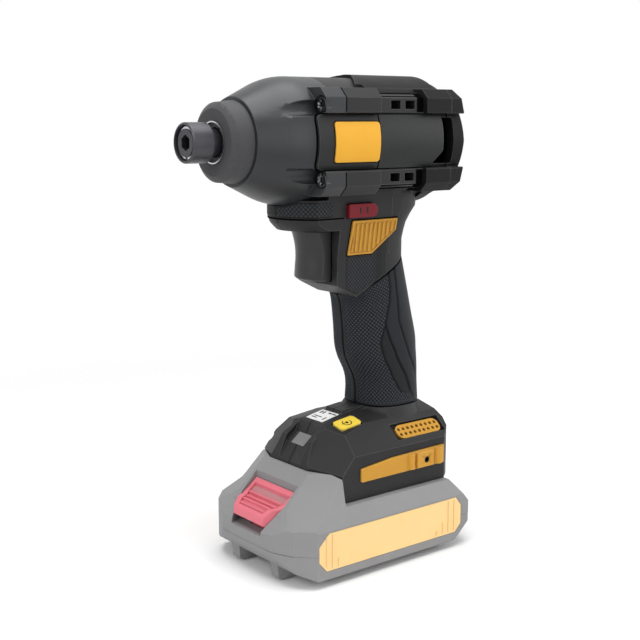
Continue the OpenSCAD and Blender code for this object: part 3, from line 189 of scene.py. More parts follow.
finishes = {
    # glass-filled nylon from an eroded mould: dull black with grey edges of wear and painted highlight, and painted
    # shade along its parting line
    "housing": plastic("mouldedNylonBlack", "#202021", "#29292a", "#7c7c7c", wear=1.0, seamMm=0.42),
    # the same from a smoother mould: a little darker and glossier
    "panel": plastic("mouldedPanelBlack", "#191a1b", "#222324", "#808080", rough=0.42, shine=0.25, wear=1.0),
    # the same with more carbon black: the darkest, with hardly any sheen
    "guard": plastic("mouldedGuardBlack", "#131314", "#1a1a1b", "#787878", rough=0.5, shine=0.1, wear=1.0),
    # painted casting: grey with slow waves from the die and a soft sheen
    "case": plastic("paintedCastAluminium", "#212325", "#2b2d2f", "#7a7a7a", rough=0.38, grainMm=1.2, shine=0.35,
                    cloudMm=22),
    # filled rubber: greyer and duller than the plastics
    "bumper": plastic("mouldedNitrileRubber", "#414143", "#4b4b4d", "#6a6a6a", rough=0.6),
    # soft elastomer: bluish black, with painted highlight and polish on the pattern's tops, painted shade and dirt in
    # its grooves
    "rubber": plastic("overmouldedElastomer", "#181b1e", "#202327", "#484c52", rough=0.55, shine=0.15,
                      dirt="#050506", polished="#393e45"),
    # the housing's plastic where the mould is etched: painted shade and dirt in the grooves round dull grey tops with
    # painted highlight
    "pattern": plastic("etchedMouldNylonBlack", "#202021", "#29292a", "#3c3e42", shine=0.15, dirt="#070708",
                       polished="#34383d"),
    # acetal: smooth and a little paler than the housing, with a soft sheen
    "trigger": plastic("mouldedAcetalBlack", "#262627", "#2f2f30", "#5a5a5a", rough=0.38, shine=0.3),
    # printed and moulded colours: even, with paler edges of wear and painted highlight; the trim is a duller ochre than
    # the plate
    "yellow": plastic("printedPlateYellow", "#eaa92a", "#f0b440", "#f8d890", rough=0.4),
    "trim": plastic("mouldedTrimYellow", "#c08b2e", "#cc9737", "#eecd88", rough=0.5, wear=0.9),
    "red": plastic("mouldedSelectorRed", "#6e1620", "#7e1d28", "#b04a50", rough=0.45),
    # smoked window: grey, smooth and glossy
    "lens": plastic("smokedPolycarbonate", "#6b6b6b", "#7c7c7c", "#c5c5c5", rough=0.15, bump=0.02, shine=0.5,
                    wear=1.0),
    # clean small parts: bright button, white label, black ink; the black ink also stands as painted shade in the
    # selector's slots, the rails' screw holes and the back seam
    "button": plastic("mouldedButtonYellow", "#f3d040", "#f8db58", "#fcec9c", rough=0.4),
    "white": plastic("printedLabelWhite", "#f2f2f2", "#f8f8f8", "#ffffff", rough=0.4),
    "print": plastic("printedInkAndShadeBlack", "#121212", "#1a1a1a", "#2a2a2a", rough=0.5),
    # painted shade: near-black sheets laid in gaps, recesses and seams where shadow falls; they swallow nearly all
    # light
    "paintedShadeBlack": plastic("paintedShadowBlack", "#050505", "#0a0a0a", "#101010", rough=0.9, shine=0.0),
    # light grey pack plastic: matt, hardly worn
    "pack": plastic("mouldedPackGrey", "#858586", "#8f8f90", "#b4b4b4", rough=0.55),
    # even pink with paler edges of wear and painted highlight
    "latch": plastic("mouldedLatchPink", "#d86b79", "#e27b88", "#f3aab3", rough=0.45),
    # the same pink, darker and duller: painted shade in the latch's dish
    "latchDishShade": plastic("shadedLatchDishPink", "#b0777b", "#bb8487", "#d09a9e", rough=0.6),
    # printed film: pale yellow, smooth, with a soft gloss
    "packLabel": plastic("printedFilmPaleYellow", "#f3c987", "#f8d497", "#fdebc6", rough=0.35),
    # hidden inside: plain dark plastic, green solder mask
    "inner": plastic("mouldedInnerPlastic", "#202020", "#2a2a2a", "#444444"),
    "board": plastic("etchedBoardGreen", "#15402a", "#1c5135", "#4b8a63", rough=0.35),
    # metals: turning or stamping marks, patchy polish
    "steel": metal("groundToolSteel", "#7e7e80", "#98989a"),
    "darkSteel": metal("blackedSteel", "#3e3e42", "#4c4c50", rough=0.38, metallic=0.7),
    "bright": metal("turnedBrightSteel", "#b8b8ba", "#d2d2d4", rough=0.2),
    "bronze": metal("sinteredBronze", "#8a6a3c", "#a07c48", rough=0.4),
    "copper": metal("enamelledCopper", "#9c5526", "#b8662f", rough=0.35),
    "lamination": metal("stampedSiliconSteel", "#66686a", "#7c7e80", rough=0.45),
    "screw": metal("zincPlatedSteel", "#4f5052", "#6a6b6d", rough=0.32),
    # shrunk film: smooth and glossy
    "can": plastic("shrunkCellWrap", "#2b5f8f", "#33699b", "#7fa6c8", rough=0.3),
}
print("finishes:", len(finishes))


def mergeFlats(form, flatAngle):
    # joins the triangles of each flat region that has one outline; regions with holes keep theirs
    form.faces.ensure_lookup_table()
    region = [-1] * len(form.faces)
    for seed in form.faces:
        if region[seed.index] >= 0:
            continue
        region[seed.index], members, todo = seed.index, [seed], [seed]
        while todo:
            for edge in todo.pop().edges:
                if len(edge.link_faces) == 2 and edge.calc_face_angle(0) < flatAngle:
                    for other in edge.link_faces:
                        if region[other.index] < 0:
                            region[other.index] = seed.index
                            members.append(other)
                            todo.append(other)
        edges = {e for f in members for e in f.edges}
        corners = {v for f in members for v in f.verts}
        if len(members) > 1 and len(corners) - len(edges) + len(members) == 1:
            yield [e for e in edges if len(e.link_faces) == 2
                   and region[e.link_faces[0].index] == region[e.link_faces[1].index] == seed.index]


# rolled edges: points closer than weld are one and edges shorter than least go, both in m; room is the shortest
# neighbour as a multiple of the radius; degrees above which an edge is rolled and below which faces are flat
rolling = {"weld": 3e-6, "least": 1e-6, "room": 2.3, "segments": 2, "profile": 0.5, "angle": 28, "flat": 0.6}


def dress(node, finish, bevelMm, crease=24, roomMm=0.0):
    # a merged copy of the solid, its convex edges rolled over where both faces leave room for it
    mesh = nodes[node].data.copy()
    form = bmesh.new()
    form.from_mesh(mesh)
    bmesh.ops.remove_doubles(form, verts=form.verts, dist=rolling["weld"])
    inner = [e for group in list(mergeFlats(form, radians(rolling["flat"]))) for e in group]
    bmesh.ops.dissolve_edges(form, edges=inner, use_verts=False, use_face_split=False)
    room = max(rolling["room"] * bevelMm, roomMm) / 1000
    sharp = [e for e in form.edges if len(e.link_faces) == 2 and e.calc_face_angle(0) > radians(rolling["angle"])
             and e.is_convex and all(n.calc_length() > room for v in e.verts for n in v.link_edges)]
    if sharp:
        bmesh.ops.bevel(form, geom=sharp, offset=bevelMm / 1000, offset_type="OFFSET",
                        segments=rolling["segments"], profile=rolling["profile"], affect="EDGES", clamp_overlap=True)
    bmesh.ops.dissolve_degenerate(form, edges=form.edges, dist=rolling["least"])
    form.to_mesh(mesh)
    form.free()
    mesh.materials.clear()
    mesh.materials.append(finishes[finish])
    mesh.shade_smooth()
    mesh.set_sharp_from_angle(angle=radians(crease))
    skin = bpy.data.objects.new(node + "_skin", mesh)
    bpy.context.scene.collection.objects.link(skin)
    even = skin.modifiers.new("evenShade", "WEIGHTED_NORMAL")
    even.keep_sharp = True
    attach(skin, bodyOf[node])
    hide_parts(node)
    return skin


# node: finish, radius of its rolled edges in mm, angle above which an edge stays crisp, shortest edge rolled
dressed = {
    "housing_left": ("housing", 0.45, 13), "housing_right": ("housing", 0.45, 13),
    "side_panel_left": ("panel", 0.4), "side_panel_right": ("panel", 0.4),
    "rear_guard_top": ("guard", 0.4), "rear_guard_bottom": ("guard", 0.4), "rear_cover": ("guard", 0.5),
    "hammer_case": ("case", 0.4), "nose_bumper": ("bumper", 0.5), "trigger": ("trigger", 0.8),
    "badge_plates": ("yellow", 0.15), "vent_panels": ("trim", 0.2), "foot_grilles": ("trim", 0.2),
    "accessory_rails": ("trim", 0.35, 24, 1.6), "direction_selector": ("red", 0.5), "work_light": ("lens", 0.3),
    "mode_button": ("button", 0.35), "mode_label": ("white", 0.08), "pack_lower_case": ("pack", 0.6),
    "pack_upper_case": ("pack", 0.6), "pack_latch": ("latch", 0.3), "pack_labels": ("packLabel", 0.15),
    "bit_sleeve": ("darkSteel", 0.2), "anvil": ("darkSteel", 0.15), "case_screws": ("screw", 0.15),
    "housing_screws": ("screw", 0.15), "cover_screws": ("screw", 0.15),
}
for node, settings in dressed.items():
    dress(node, *settings)
inside = {
    "steel": ["hammer", "cam_spindle", "planet_gear_1", "planet_gear_2", "planet_gear_3", "ring_gear", "motor_shaft",
              "planet_pins", "sleeve_washer"],
    "bright": ["detent_balls", "cam_balls", "spindle_bearing", "front_bearing", "rear_bearing", "sleeve_clip"],
    "bronze": ["anvil_bush"],
    "lamination": ["rotor_core", "stator_core"],
    "copper": ["stator_coils"],
    "inner": ["gear_plate", "cooling_fan", "trigger_switch", "terminal_block"],
    "board": ["hall_board", "controller_board", "pack_board"],
    "can": ["pack_cells"],
}
for finish, members in inside.items():
    for node in members:
        nodes[node].data.materials.clear()
        nodes[node].data.materials.append(finishes[finish])
# coil springs, each dressed in bright steel with a mesh of its own: joint, axis, fixed end and free length in mm,
# travel in mm
springs = {
    "hammer_spring": ("hammer_slide", (1, 0, 0), (8.86, 0, 205), 17.78, 5),
    "sleeve_spring": ("sleeve_slide", (1, 0, 0), (71.05, 0, 205), 6.0, 4),
    "trigger_spring": ("trigger_pull", (1, 0, 0), (-16.25, 0, 151), 8.5, 7),
    "latch_spring": ("latch_press", (0, 0, 1), (33.5, 0, 9.15), 9.6, 3),
}
for node, (joint, axis, fixedEnd, longMm, travelMm) in springs.items():
    coil = dress(node, "bright", bevelMm=0.05)
    tuple(v / 1000 for v in fixedEnd)
    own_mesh(coil)
    tuple(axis)
print("dressed:", len(dressed), "inside:", sum(map(len, inside.values())))


# height of the head's axis in mm
headZ = 205.0


def slab(front, back):
    # closed shell between two grids of the same shape: both sheets and the strips round them
    rows, cols = front.shape[:2]
    count = rows * cols
    index = np.arange(count).reshape(rows, cols)
    quads = np.stack([index[:-1, :-1], index[:-1, 1:], index[1:, 1:], index[1:, :-1]], -1).reshape(-1, 4)
    rim = np.concatenate([index[0, :-1], index[:-1, -1], index[-1, :0:-1], index[:0:-1, 0]])
    after = np.roll(rim, -1)
    strips = np.stack([after, rim, rim + count, after + count], -1)
    points = np.concatenate([front.reshape(-1, 3), back.reshape(-1, 3)])
    return points, np.concatenate([quads, quads[:, ::-1] + count, strips])


def lathe(profile, turns):
    # closed ring: the (x, radius) outline turned about the head's axis in equal steps
    angle = np.linspace(0, 2 * np.pi, turns, endpoint=False)[:, None]
    x, r = profile[:, 0][None, :], profile[:, 1][None, :]
    points = np.stack([x + 0 * angle, r * np.cos(angle), headZ + r * np.sin(angle)], -1)
    index = np.arange(points.shape[0] * points.shape[1]).reshape(points.shape[:2])
    down, right = np.roll(index, -1, 0), np.roll(index, -1, 1)
    return points.reshape(-1, 3), np.stack([index, right, np.roll(down, -1, 1), down], -1).reshape(-1, 4)


def together(shapes):
    # several shells as one
    base = np.cumsum([0] + [len(p) for p, _ in shapes[:-1]])
    return np.concatenate([p for p, _ in shapes]), np.concatenate([f + b for (_, f), b in zip(shapes, base)])


def turned(shape, origin, tiltX=0.0, tiltY=0.0):
    # the solid's order of turns: about X, then about Y, then moved to its place
    points, faces = shape
    cx, sx, cy, sy = *(f(radians(tiltX)) for f in (np.cos, np.sin)), *(f(radians(tiltY)) for f in (np.cos, np.sin))
    x, y, z = points.T
    y, z = y * cx - z * sx, y * sx + z * cx
    x, z = x * cy + z * sy, z * cy - x * sy
    return np.stack([x, y, z], 1) + np.array(origin), faces


def plate(u, v, top, bottom):
    # flat piece with outline grid (u, v), between two heights
    return slab(np.stack([u, v, 0 * u + top], -1), np.stack([u, v, 0 * u + bottom], -1))


def bar(u0, u1, v0, v1, top, bottom):
    return plate(*np.meshgrid([u0, u1], [v0, v1], indexing="ij"), top, bottom)


def piece(name, shape, finish, body, smooth=40, stands=(), hollow=None):
    # millimetres to metres, faces turned outwards; hollow runs from -1 on a pattern's tops to 1 where it is deepest
    points, faces = shape
    mesh = bpy.data.meshes.new(name)
    mesh.from_pydata((points / 1000).tolist(), [], faces.tolist())
    form = bmesh.new()
    form.from_mesh(mesh)
    bmesh.ops.recalc_face_normals(form, faces=form.faces)
    form.to_mesh(mesh)
    form.free()
    if hollow is not None:
        mesh.attributes.new("hollow", "FLOAT", "POINT").data.foreach_set("value", hollow.ravel().astype(np.float32))
    mesh.materials.append(finishes[finish])
    mesh.shade_smooth()
    mesh.set_sharp_from_angle(angle=radians(smooth))
    thing = bpy.data.objects.new(name, mesh)
    bpy.context.scene.collection.objects.link(thing)
    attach(thing, body)
    if stands:
        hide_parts(*stands)
    return thing


def mirrored(shape):
    return shape[0] * np.array([1, -1, 1]), shape[1][:, ::-1]


def diamonds(s, w, pitch, steep=2.4):
    # 1 on the tops of a diamond pattern, 0 in its grooves: the lower of two crossed triangle waves, cut flat
    wave = [1 - np.abs(1 - 2 * (c - np.floor(c))) for c in ((s + w) / pitch, (s - w) / pitch)]
    return np.minimum(1, steep * np.minimum(*wave))


def ramp(v, lo, hi):
    # 0 below lo, 1 above hi, smooth between
    t = np.clip((v - lo) / (hi - lo), 0, 1)
    return t * t * (3 - 2 * t)


def smoothly(values, at):
    # Catmull-Rom curve through the rows of values, at positions counted in rows
    values = np.array(values, float)
    ends = np.vstack([2 * values[0] - values[1], values, 2 * values[-1] - values[-2]])
    i = np.clip(at.astype(int), 0, len(values) - 2)
    f = (at - i)[:, None]
    p, q, r, s = (ends[i + k] for k in range(4))
    return 0.5 * (2 * q + (r - p) * f + (2 * p - 5 * q + 4 * r - s) * f ** 2 + (3 * q - p - 3 * r + s) * f ** 3)


def bothSides(shape):
    return together([shape, mirrored(shape)])


def upright(shape):
    # bars drawn as (x, z, y), stood up against the side
    return shape[0][:, [0, 2, 1]], shape[1]


# rubber of the grip: oval sections from the foot up, with a diamond pattern, a bare lens-shaped field and grooves
grip = {
    # front x and z, back x and z, half width
    "sections": [[-24.3, 73, -59.4, 73, 17.6], [-24.3, 82, -59.2, 83, 16.8], [-22.7, 88.5, -59, 92, 16.9],
                 [-18.5, 96.5, -58.5, 100, 17.2], [-16.6, 103, -57.8, 108, 17.3], [-15.7, 114, -54.8, 120, 17],
                 [-14.1, 126, -51.6, 134, 16.5], [-12.3, 130.5, -48, 150, 16]],
    "power": 0.8, "thickMm": 1.35, "leastMm": 0.2, "seamMm": 0.1, "rollMm": 0.8, "rows": 236, "cols": 188,
    "fineRows": 701, "fineCols": 2001,
    # the object's pattern is about 1 mm; drawn coarser so that it shows
    "pitchMm": 2.1, "deepMm": 0.42, "fieldDeepMm": 0.35, "grooveMm": 0.6, "grooveDeepMm": 0.7,
    # lines on the side: section number and degrees from the front
    "patternEnd": ([0, 0.40, 0.45, 0.71, 1.64, 2.95, 4.21, 4.59, 4.86, 5.03, 5.73, 6.44, 7],
                   [112, 112, 98, 87.2, 76, 70.2, 67.2, 72.5, 77.5, 79.2, 88.5, 91.8, 93]),
    "fieldEnd": ([0.4, 0.58, 2.19, 3.66, 4.83, 5], [112, 103.8, 91, 86.5, 78.5, 78]),
    "spine": ([0, 1.36, 2.79, 3.94, 4.90, 6.19, 7], [134, 122.8, 108.2, 101.2, 95.8, 100.5, 104]),
    # section numbers: end of the field, start of its lines and of the spine, section whose girth sets the columns
    "fieldTop": 4.9, "linesFrom": (0.5, 0.7), "spineFrom": (1.2, 2.2), "girthAt": 4.0,
    # mm in which the pattern sets in from the parting line, from its end line and from both borders, and the field
    "fromSeam": (2.2, 3.6), "fromEnd": (0.5, 1.1), "fromBorder": (1.4, 2.4), "fieldStep": (-0.3, 0.3),
    # painted shade and dirt: share above which it follows the pattern, amount on the recessed field, width and fade of
    # the darkened border
    "patternShare": 0.4, "fieldShadeAndDirt": 0.25, "dirtyMm": 0.9, "dirtFadeMm": 0.4,
    # painted shadow along the upper border, a black sheet in the gap: its width, and how deep its two sheets lie
    "gapMm": 0.75, "gapSunkMm": (0.03, 0.7),
}
# angle above which an edge of a patterned sheet stays crisp
patternCrease = 75


def gripSheet(angle, at, depth):
    # point of an oval section: x and y are signed powers of cosine and sine, the section's plane gives z
    fx, fz, bx, bz, half = smoothly(grip["sections"], at).T[:, :, None]
    u = np.sign(np.cos(angle)) * np.abs(np.cos(angle)) ** grip["power"]
    v = np.sign(np.sin(angle)) * np.abs(np.sin(angle)) ** grip["power"]
    x = (fx + bx) / 2 + u * ((fx - bx) / 2 - depth)
    y = np.maximum(v * (half - depth), grip["seamMm"])
    return np.stack([x, y, bz + (fz - bz) / (fx - bx) * (x - bx)], -1)


def evenly(path, count, values):
    # values at equal steps of length along a path of points, and the path's length
    run = np.concatenate([[0], np.cumsum(np.linalg.norm(np.diff(path, axis=0), axis=1))])
    return np.interp(np.linspace(0, run[-1], count), run, values), run[-1]


fine = np.linspace(0, np.pi, grip["fineCols"])
angle, around = evenly(gripSheet(fine[None, :], np.array([grip["girthAt"]]), 0.0)[0], grip["cols"], fine)
fineRows = np.linspace(0, len(grip["sections"]) - 1, grip["fineRows"])
at, tall = evenly(gripSheet(np.array([[np.pi / 2]]), fineRows, 0.0)[:, 0], grip["rows"], fineRows)
s = np.linspace(0, around, grip["cols"])[None, :]
w = np.linspace(0, tall, grip["rows"])[:, None]
rowAt = at[:, None]


def lineAt(line):
    # length round the grip at which a line crosses each row
    return np.interp(np.interp(at, *line), np.degrees(angle), s[0])[:, None]


# shares from 0 to 1 on the sheet; a groove is a bell curve of the distance to its line
patternEnd, fieldEnd, spine = (lineAt(grip[k]) for k in ("patternEnd", "fieldEnd", "spine"))
onField = rowAt < grip["fieldTop"]
linesOn = ramp(rowAt, *grip["linesFrom"])
inPattern = (ramp(s, *grip["fromSeam"]) * ramp(patternEnd - s, *grip["fromEnd"]) * ramp(w, *grip["fromBorder"])
             * ramp(tall - w, *grip["fromBorder"]))
inField = ramp(s - patternEnd, *grip["fieldStep"]) * ramp(fieldEnd - s, *grip["fieldStep"]) * onField
groove = np.maximum.reduce([np.exp(-((s - line) / grip["grooveMm"]) ** 2) * show for line, show in (
    (patternEnd, linesOn), (fieldEnd, linesOn * onField), (spine, ramp(rowAt, *grip["spineFrom"])))])
# the border rolls over in a quarter circle
toEdge = np.minimum(np.minimum(s, around - s), np.minimum(w, tall - w))
roll = grip["rollMm"] - np.sqrt(np.maximum(0, grip["rollMm"] ** 2 - np.maximum(0, grip["rollMm"] - toEdge) ** 2))
tops = diamonds(s, w, grip["pitchMm"])
depth = (inPattern * grip["deepMm"] * (1 - tops) + inField * grip["fieldDeepMm"] + groove * grip["grooveDeepMm"]
         + roll)
gripHollow = np.where(inPattern > grip["patternShare"], inPattern * (1 - 2 * tops ** 2), np.maximum.reduce(
    [groove, grip["fieldShadeAndDirt"] * inField, ramp(grip["dirtyMm"] - toEdge, 0.0, grip["dirtFadeMm"])]))
gripHollow = np.concatenate([gripHollow.ravel(), np.ones(gripHollow.size)])
gripSkin = slab(gripSheet(angle[None, :], at, np.minimum(depth, grip["thickMm"] - grip["leastMm"])),
                gripSheet(angle[None, :], at, grip["thickMm"]))
for side, shape in (("left", gripSkin), ("right", mirrored(gripSkin))):
    piece("grip_" + side + "_skin", shape, "rubber", "tool", patternCrease, ("grip_" + side,),
          gripHollow)

# painted shadow: a black sheet in the gap between the rubber's upper border and the shroud, flush with both
border = np.interp([tall - grip["gapMm"], tall], w[:, 0], at)
gripGap = slab(*(gripSheet(angle[None, :], border, sunk) for sunk in grip["gapSunkMm"]))
piece("grip_gap_shade", bothSides(gripGap), "paintedShadeBlack", "tool")
print("grip skins:", len(gripSkin[1]), "faces each")


def bent(x, turnX, turnZ, fore, aft):
    # height of a line with one bend, that rises by fore in front of it and by aft behind it
    return turnZ + np.where(x > turnX, (x - turnX) * fore, (turnX - x) * aft)


def raised(look, rim, deep):
    # height of an etched sheet: sunk at its border, lifted inside it, less the pattern's depth
    shown = ramp(rim, *look["rise"])
    return look["liftMm"] * shown - look["rimMm"] * (1 - shown) - look["deepMm"] * deep


def etchedHollow(shown, deep):
    # painted highlight on an etched sheet's tops and painted shade with dirt in its grooves: down to -1 on its tops, 1
    # in its grooves and on the hidden back
    front = shown - 2 * np.maximum(shown - deep, 0) ** 2
    return np.concatenate([front.ravel(), np.ones(front.size)])


# diamond pattern on the shroud, below the vent panel, following the outer of shroud side and oval neck
patch = {
    "fromX": -5.2, "toX": -31.0, "cols": 84, "rows": 62, "liftMm": 0.3, "deepMm": 0.24, "sunkMm": 0.5, "rimMm": 0.15,
    "sideZ": [127, 136, 150, 169.5], "sideY": [14.7, 15.2, 15.6, 18.3],
    # oval rows of the neck: front x and z, back x and z, half width; power of the ovals
    "neck": [[-13, 131.08, -48, 150.2, 15.9], [-9, 146, -48.6, 153, 15.7], [-7, 156, -48.5, 157, 16.2]], "power": 2.5,
    # lower and upper border: x and z of the bend, rise in front of it and behind it; gap above the lower one
    "low": (-12.3, 130.7, 0.5, 0.5462), "high": (-20.5, 150.7, 0.0, 0.78), "clearMm": 0.9,
    # mm from the border in which the sheet rises and the pattern sets in; where the pattern fades out
    "rise": (0.0, 0.5), "start": (0.3, 1.0), "fadeX": -22, "fadeMm": 8, "stretch": 1.06,
}
x = np.linspace(patch["fromX"], patch["toX"], patch["cols"])[None, :]
low = bent(x, *patch["low"]) + patch["clearMm"]
high = bent(x, *patch["high"])
z = low + (high - low) * np.linspace(0, 1, patch["rows"])[:, None]
x = x + 0 * z
ovals = []
for fx, fz, bx, bz, half in patch["neck"]:
    # an oval's half width falls with the power of the distance from its middle
    u = np.clip(np.abs((x - (fx + bx) / 2) / ((fx - bx) / 2)), 0, 1)
    ovals.append((bz + (fz - bz) / (fx - bx) * (x - bx), half * (1 - u ** patch["power"]) ** (1 / patch["power"])))
mix = [np.clip((z - a[0]) / (b[0] - a[0]), 0, 1) for a, b in zip(ovals, ovals[1:])]
neckY = np.where(z < ovals[1][0], ovals[0][1] + (ovals[1][1] - ovals[0][1]) * mix[0],
                 ovals[1][1] + (ovals[2][1] - ovals[1][1]) * mix[1])
y = np.maximum(np.interp(z, patch["sideZ"], patch["sideY"]), neckY)
rim = np.minimum(np.minimum(patch["fromX"] - x, x - patch["toX"]), np.minimum(z - low, high - z))
etched = ramp(rim, *patch["start"]) * (1 - ramp(patch["fadeX"] - x, 0, patch["fadeMm"]))
deep = (1 - diamonds(x * patch["stretch"], z, grip["pitchMm"])) * etched
front = np.stack([x, y + raised(patch, rim, deep), z], -1)
sidePatch = slab(front, np.stack([x, y - patch["sunkMm"], z], -1))
patchHollow = etchedHollow(etched, deep)
for side, shape in (("left", sidePatch), ("right", mirrored(sidePatch))):
    piece("shroud_pattern_" + side, shape, "pattern", "tool", patternCrease, hollow=patchHollow)

# outer radius of barrel and case, which is straight up to fromX and an arc in front of it
caseLine = {"radius": 29.6, "arc": 38, "fromX": 20}


def caseRadius(x):
    # radius less the arc's drop, which is arc minus the root of arc squared less distance past fromX squared
    past = np.maximum(x - caseLine["fromX"], 0)
    return caseLine["radius"] - caseLine["arc"] + np.sqrt(np.maximum(caseLine["arc"] ** 2 - past ** 2, 0))


# patterned band round the top of the trigger shroud: along the flat side, then round the nose of the shroud
band = {
    "flatY": 18.32, "fromX": 5.0, "axisX": 2.7, "radius": 21.6, "lowZ": 169.7, "highZ": 177.4, "cols": 110, "rows": 30,
    "liftMm": 0.3, "deepMm": 0.24, "sunkMm": 0.6, "rimMm": 0.15, "caseGapMm": 0.4,
    # angle by which the band stops before the middle plane
    "shortBy": 0.02,
    # mm from the border in which the sheet rises, the pattern and the groove set in; pattern above the groove
    "rise": (0, 0.5), "start": (0.3, 0.9), "grooveStart": (0.0, 0.3), "aboveGroove": (0.2, 0.6),
    "grooveZ": 170.4, "grooveMm": 0.3,
    # painted shadow under it: a black sheet in the gap
    "gapZ": (169.1, 169.72), "gapFromX": -1.5, "gapProudMm": 0.1,
}
bendAt = np.arcsin(band["flatY"] / band["radius"])
flatLong = band["axisX"] + band["radius"] * np.cos(bendAt) - band["fromX"]
run = np.linspace(0, flatLong + band["radius"] * (bendAt - band["shortBy"]), band["cols"])[None, :]
bend = bendAt - np.maximum(0, run - flatLong) / band["radius"]
onFlat = run < flatLong
baseX = np.where(onFlat, band["fromX"] + run, band["axisX"] + band["radius"] * np.cos(bend))
baseY = np.where(onFlat, band["flatY"], band["radius"] * np.sin(bend))
outX, outY = np.where(onFlat, 0, np.cos(bend)), np.where(onFlat, 1, np.sin(bend))
# the upper border follows the round case where that is lower
underCase = headZ - np.sqrt(np.maximum(caseRadius(baseX) ** 2 - baseY ** 2, 0)) - band["caseGapMm"]
high = np.minimum(band["highZ"], underCase)
z = band["lowZ"] + (high - band["lowZ"]) * np.linspace(0, 1, band["rows"])[:, None]
rim = np.minimum(np.minimum(run, run[0, -1] - run), np.minimum(z - band["lowZ"], high - z))
groove = np.exp(-((z - band["grooveZ"]) / band["grooveMm"]) ** 2) * ramp(rim, *band["grooveStart"])
etched = ramp(rim, *band["start"]) * ramp(z - band["grooveZ"], *band["aboveGroove"])
deep = np.maximum(etched * (1 - diamonds(run, z, grip["pitchMm"])), groove)
out = raised(band, rim, deep)
front = np.stack([baseX + outX * out, baseY + outY * out, z], -1)
back = np.stack([baseX - outX * band["sunkMm"] + 0 * z, baseY - outY * band["sunkMm"] + 0 * z, z], -1)
bandPatch = slab(front, back)
bandHollow = etchedHollow(np.maximum(etched, groove), deep)
for side, shape in (("left", bandPatch), ("right", mirrored(bandPatch))):
    piece("shroud_band_" + side, shape, "pattern", "tool", patternCrease, hollow=bandHollow)

# painted shadow under the band: a black sheet in the gap, along the same path
gapX, gapY, gapOutX, gapOutY = (np.append(first, row[0]) for first, row in (
    (band["gapFromX"], baseX), (band["flatY"], baseY), (0.0, outX), (1.0, outY)))
sheets = (np.stack([np.stack([gapX + gapOutX * d, gapY + gapOutY * d, level + 0 * gapX], -1)
                    for level in band["gapZ"]]) for d in (band["gapProudMm"], -band["sunkMm"]))
piece("band_gap_shade", bothSides(slab(*sheets)), "paintedShadeBlack", "tool")
print("patterns ready")

# bright edge of the nose tube: x and radius
edge = np.array([[59.1, 8.85], [59.36, 8.9], [59.42, 9.1], [59.42, 9.35], [59.36, 9.52], [59.1, 9.56]])
piece("nose_tube_edge", lathe(edge, turns=96), "bright", "tool")

# retainer of the rear bearing, on the cover's boss behind the fan: x and radius
retainer = np.array([[-58.15, 3.4], [-58.15, 11.6], [-56.8, 11.8], [-56.4, 11.5], [-56.4, 3.4]])
piece("bearing_retainer", lathe(retainer, turns=72), "inner", "tool")

# walls that close the screw pockets of the case at its sides, flush with the ears
ears = {"x": (15.6, 19.45), "y": (31.385, 31.1), "z": 16.6, "half": 1.5}
walls = upright(together([bar(*ears["x"], headZ + up * ears["z"] - ears["half"], headZ + up * ears["z"] + ears["half"],
                              *ears["y"]) for up in (-1, 1)]))
piece("case_ear_walls", bothSides(walls), "case", "tool")

# how far the black strips of painted shade stand out from the face below them and reach into it, in mm: on flat faces,
# on the round head
flatStrip, roundStrip = (0.07, -0.3), (0.04, -0.3)

# painted shade: black sheets in the rails' vent recesses and split lines, where shadow falls: x range, two points (y,
# height) of the face below each
vents = [((-41.6, -37.4), (28.8, 13.4), (28.8, 19.9)), ((-41.6, -37.4), (28.8, 19.9), (24.9, 22.22)),
         ((-37.4, -13.2), (28.1, 20.31), (27.4, 20.73)), ((-37.4, -13.2), (25.9, 21.62), (24.9, 22.22)),
         ((7.7, 8.25), (31.4, 13.4), (31.4, 19.9)), ((7.7, 8.25), (31.4, 19.9), (27.3, 24.2))]
shadeSheets = []
for reach, low, high in vents:
    x, q = np.meshgrid(reach, [0.0, 1.0])
    along = np.array(high) - np.array(low)
    out = np.array([along[1], -along[0]]) / np.linalg.norm(along)
    y, z = (low[i] + along[i] * q for i in (0, 1))
    sheets = [np.stack([x, y + out[0] * d, headZ + z + out[1] * d], -1) for d in flatStrip]
    below = [np.array([0, 0, 2 * headZ]) + sheet * np.array([1, 1, -1]) for sheet in sheets]
    shadeSheets += [slab(*sheets), slab(*below)]
piece("vent_recess_shade", bothSides(together(shadeSheets)), "paintedShadeBlack", "tool")

# painted shadow: black strips in the gaps round the side panels, between their two fields and round the plates, on the
# head's round surface
gaps = {
    # x range, half height and corner radius of panel and plate; radius of the head there
    "panel": (-49.0, 22.7, 12.3, 3.0), "plate": (-12.7, 13.8, 9.1, 1.5), "panelR": 30.9, "cornerSteps": 9, "count": 300,
    # gap between the fields: x range, half height and steps
    "split": (-13.5, -12.75), "splitHalf": 12.2, "splitCount": 60,
    # start and width of the panel's gap, what is added at its front from x to x, width round the plate
    "clearMm": 0.02, "wideMm": 0.47, "frontMm": 0.4, "frontX": (19, 22.5), "plateMm": 0.4,
    # a closed outline stops this far before its start
    "openMm": 0.02,
}


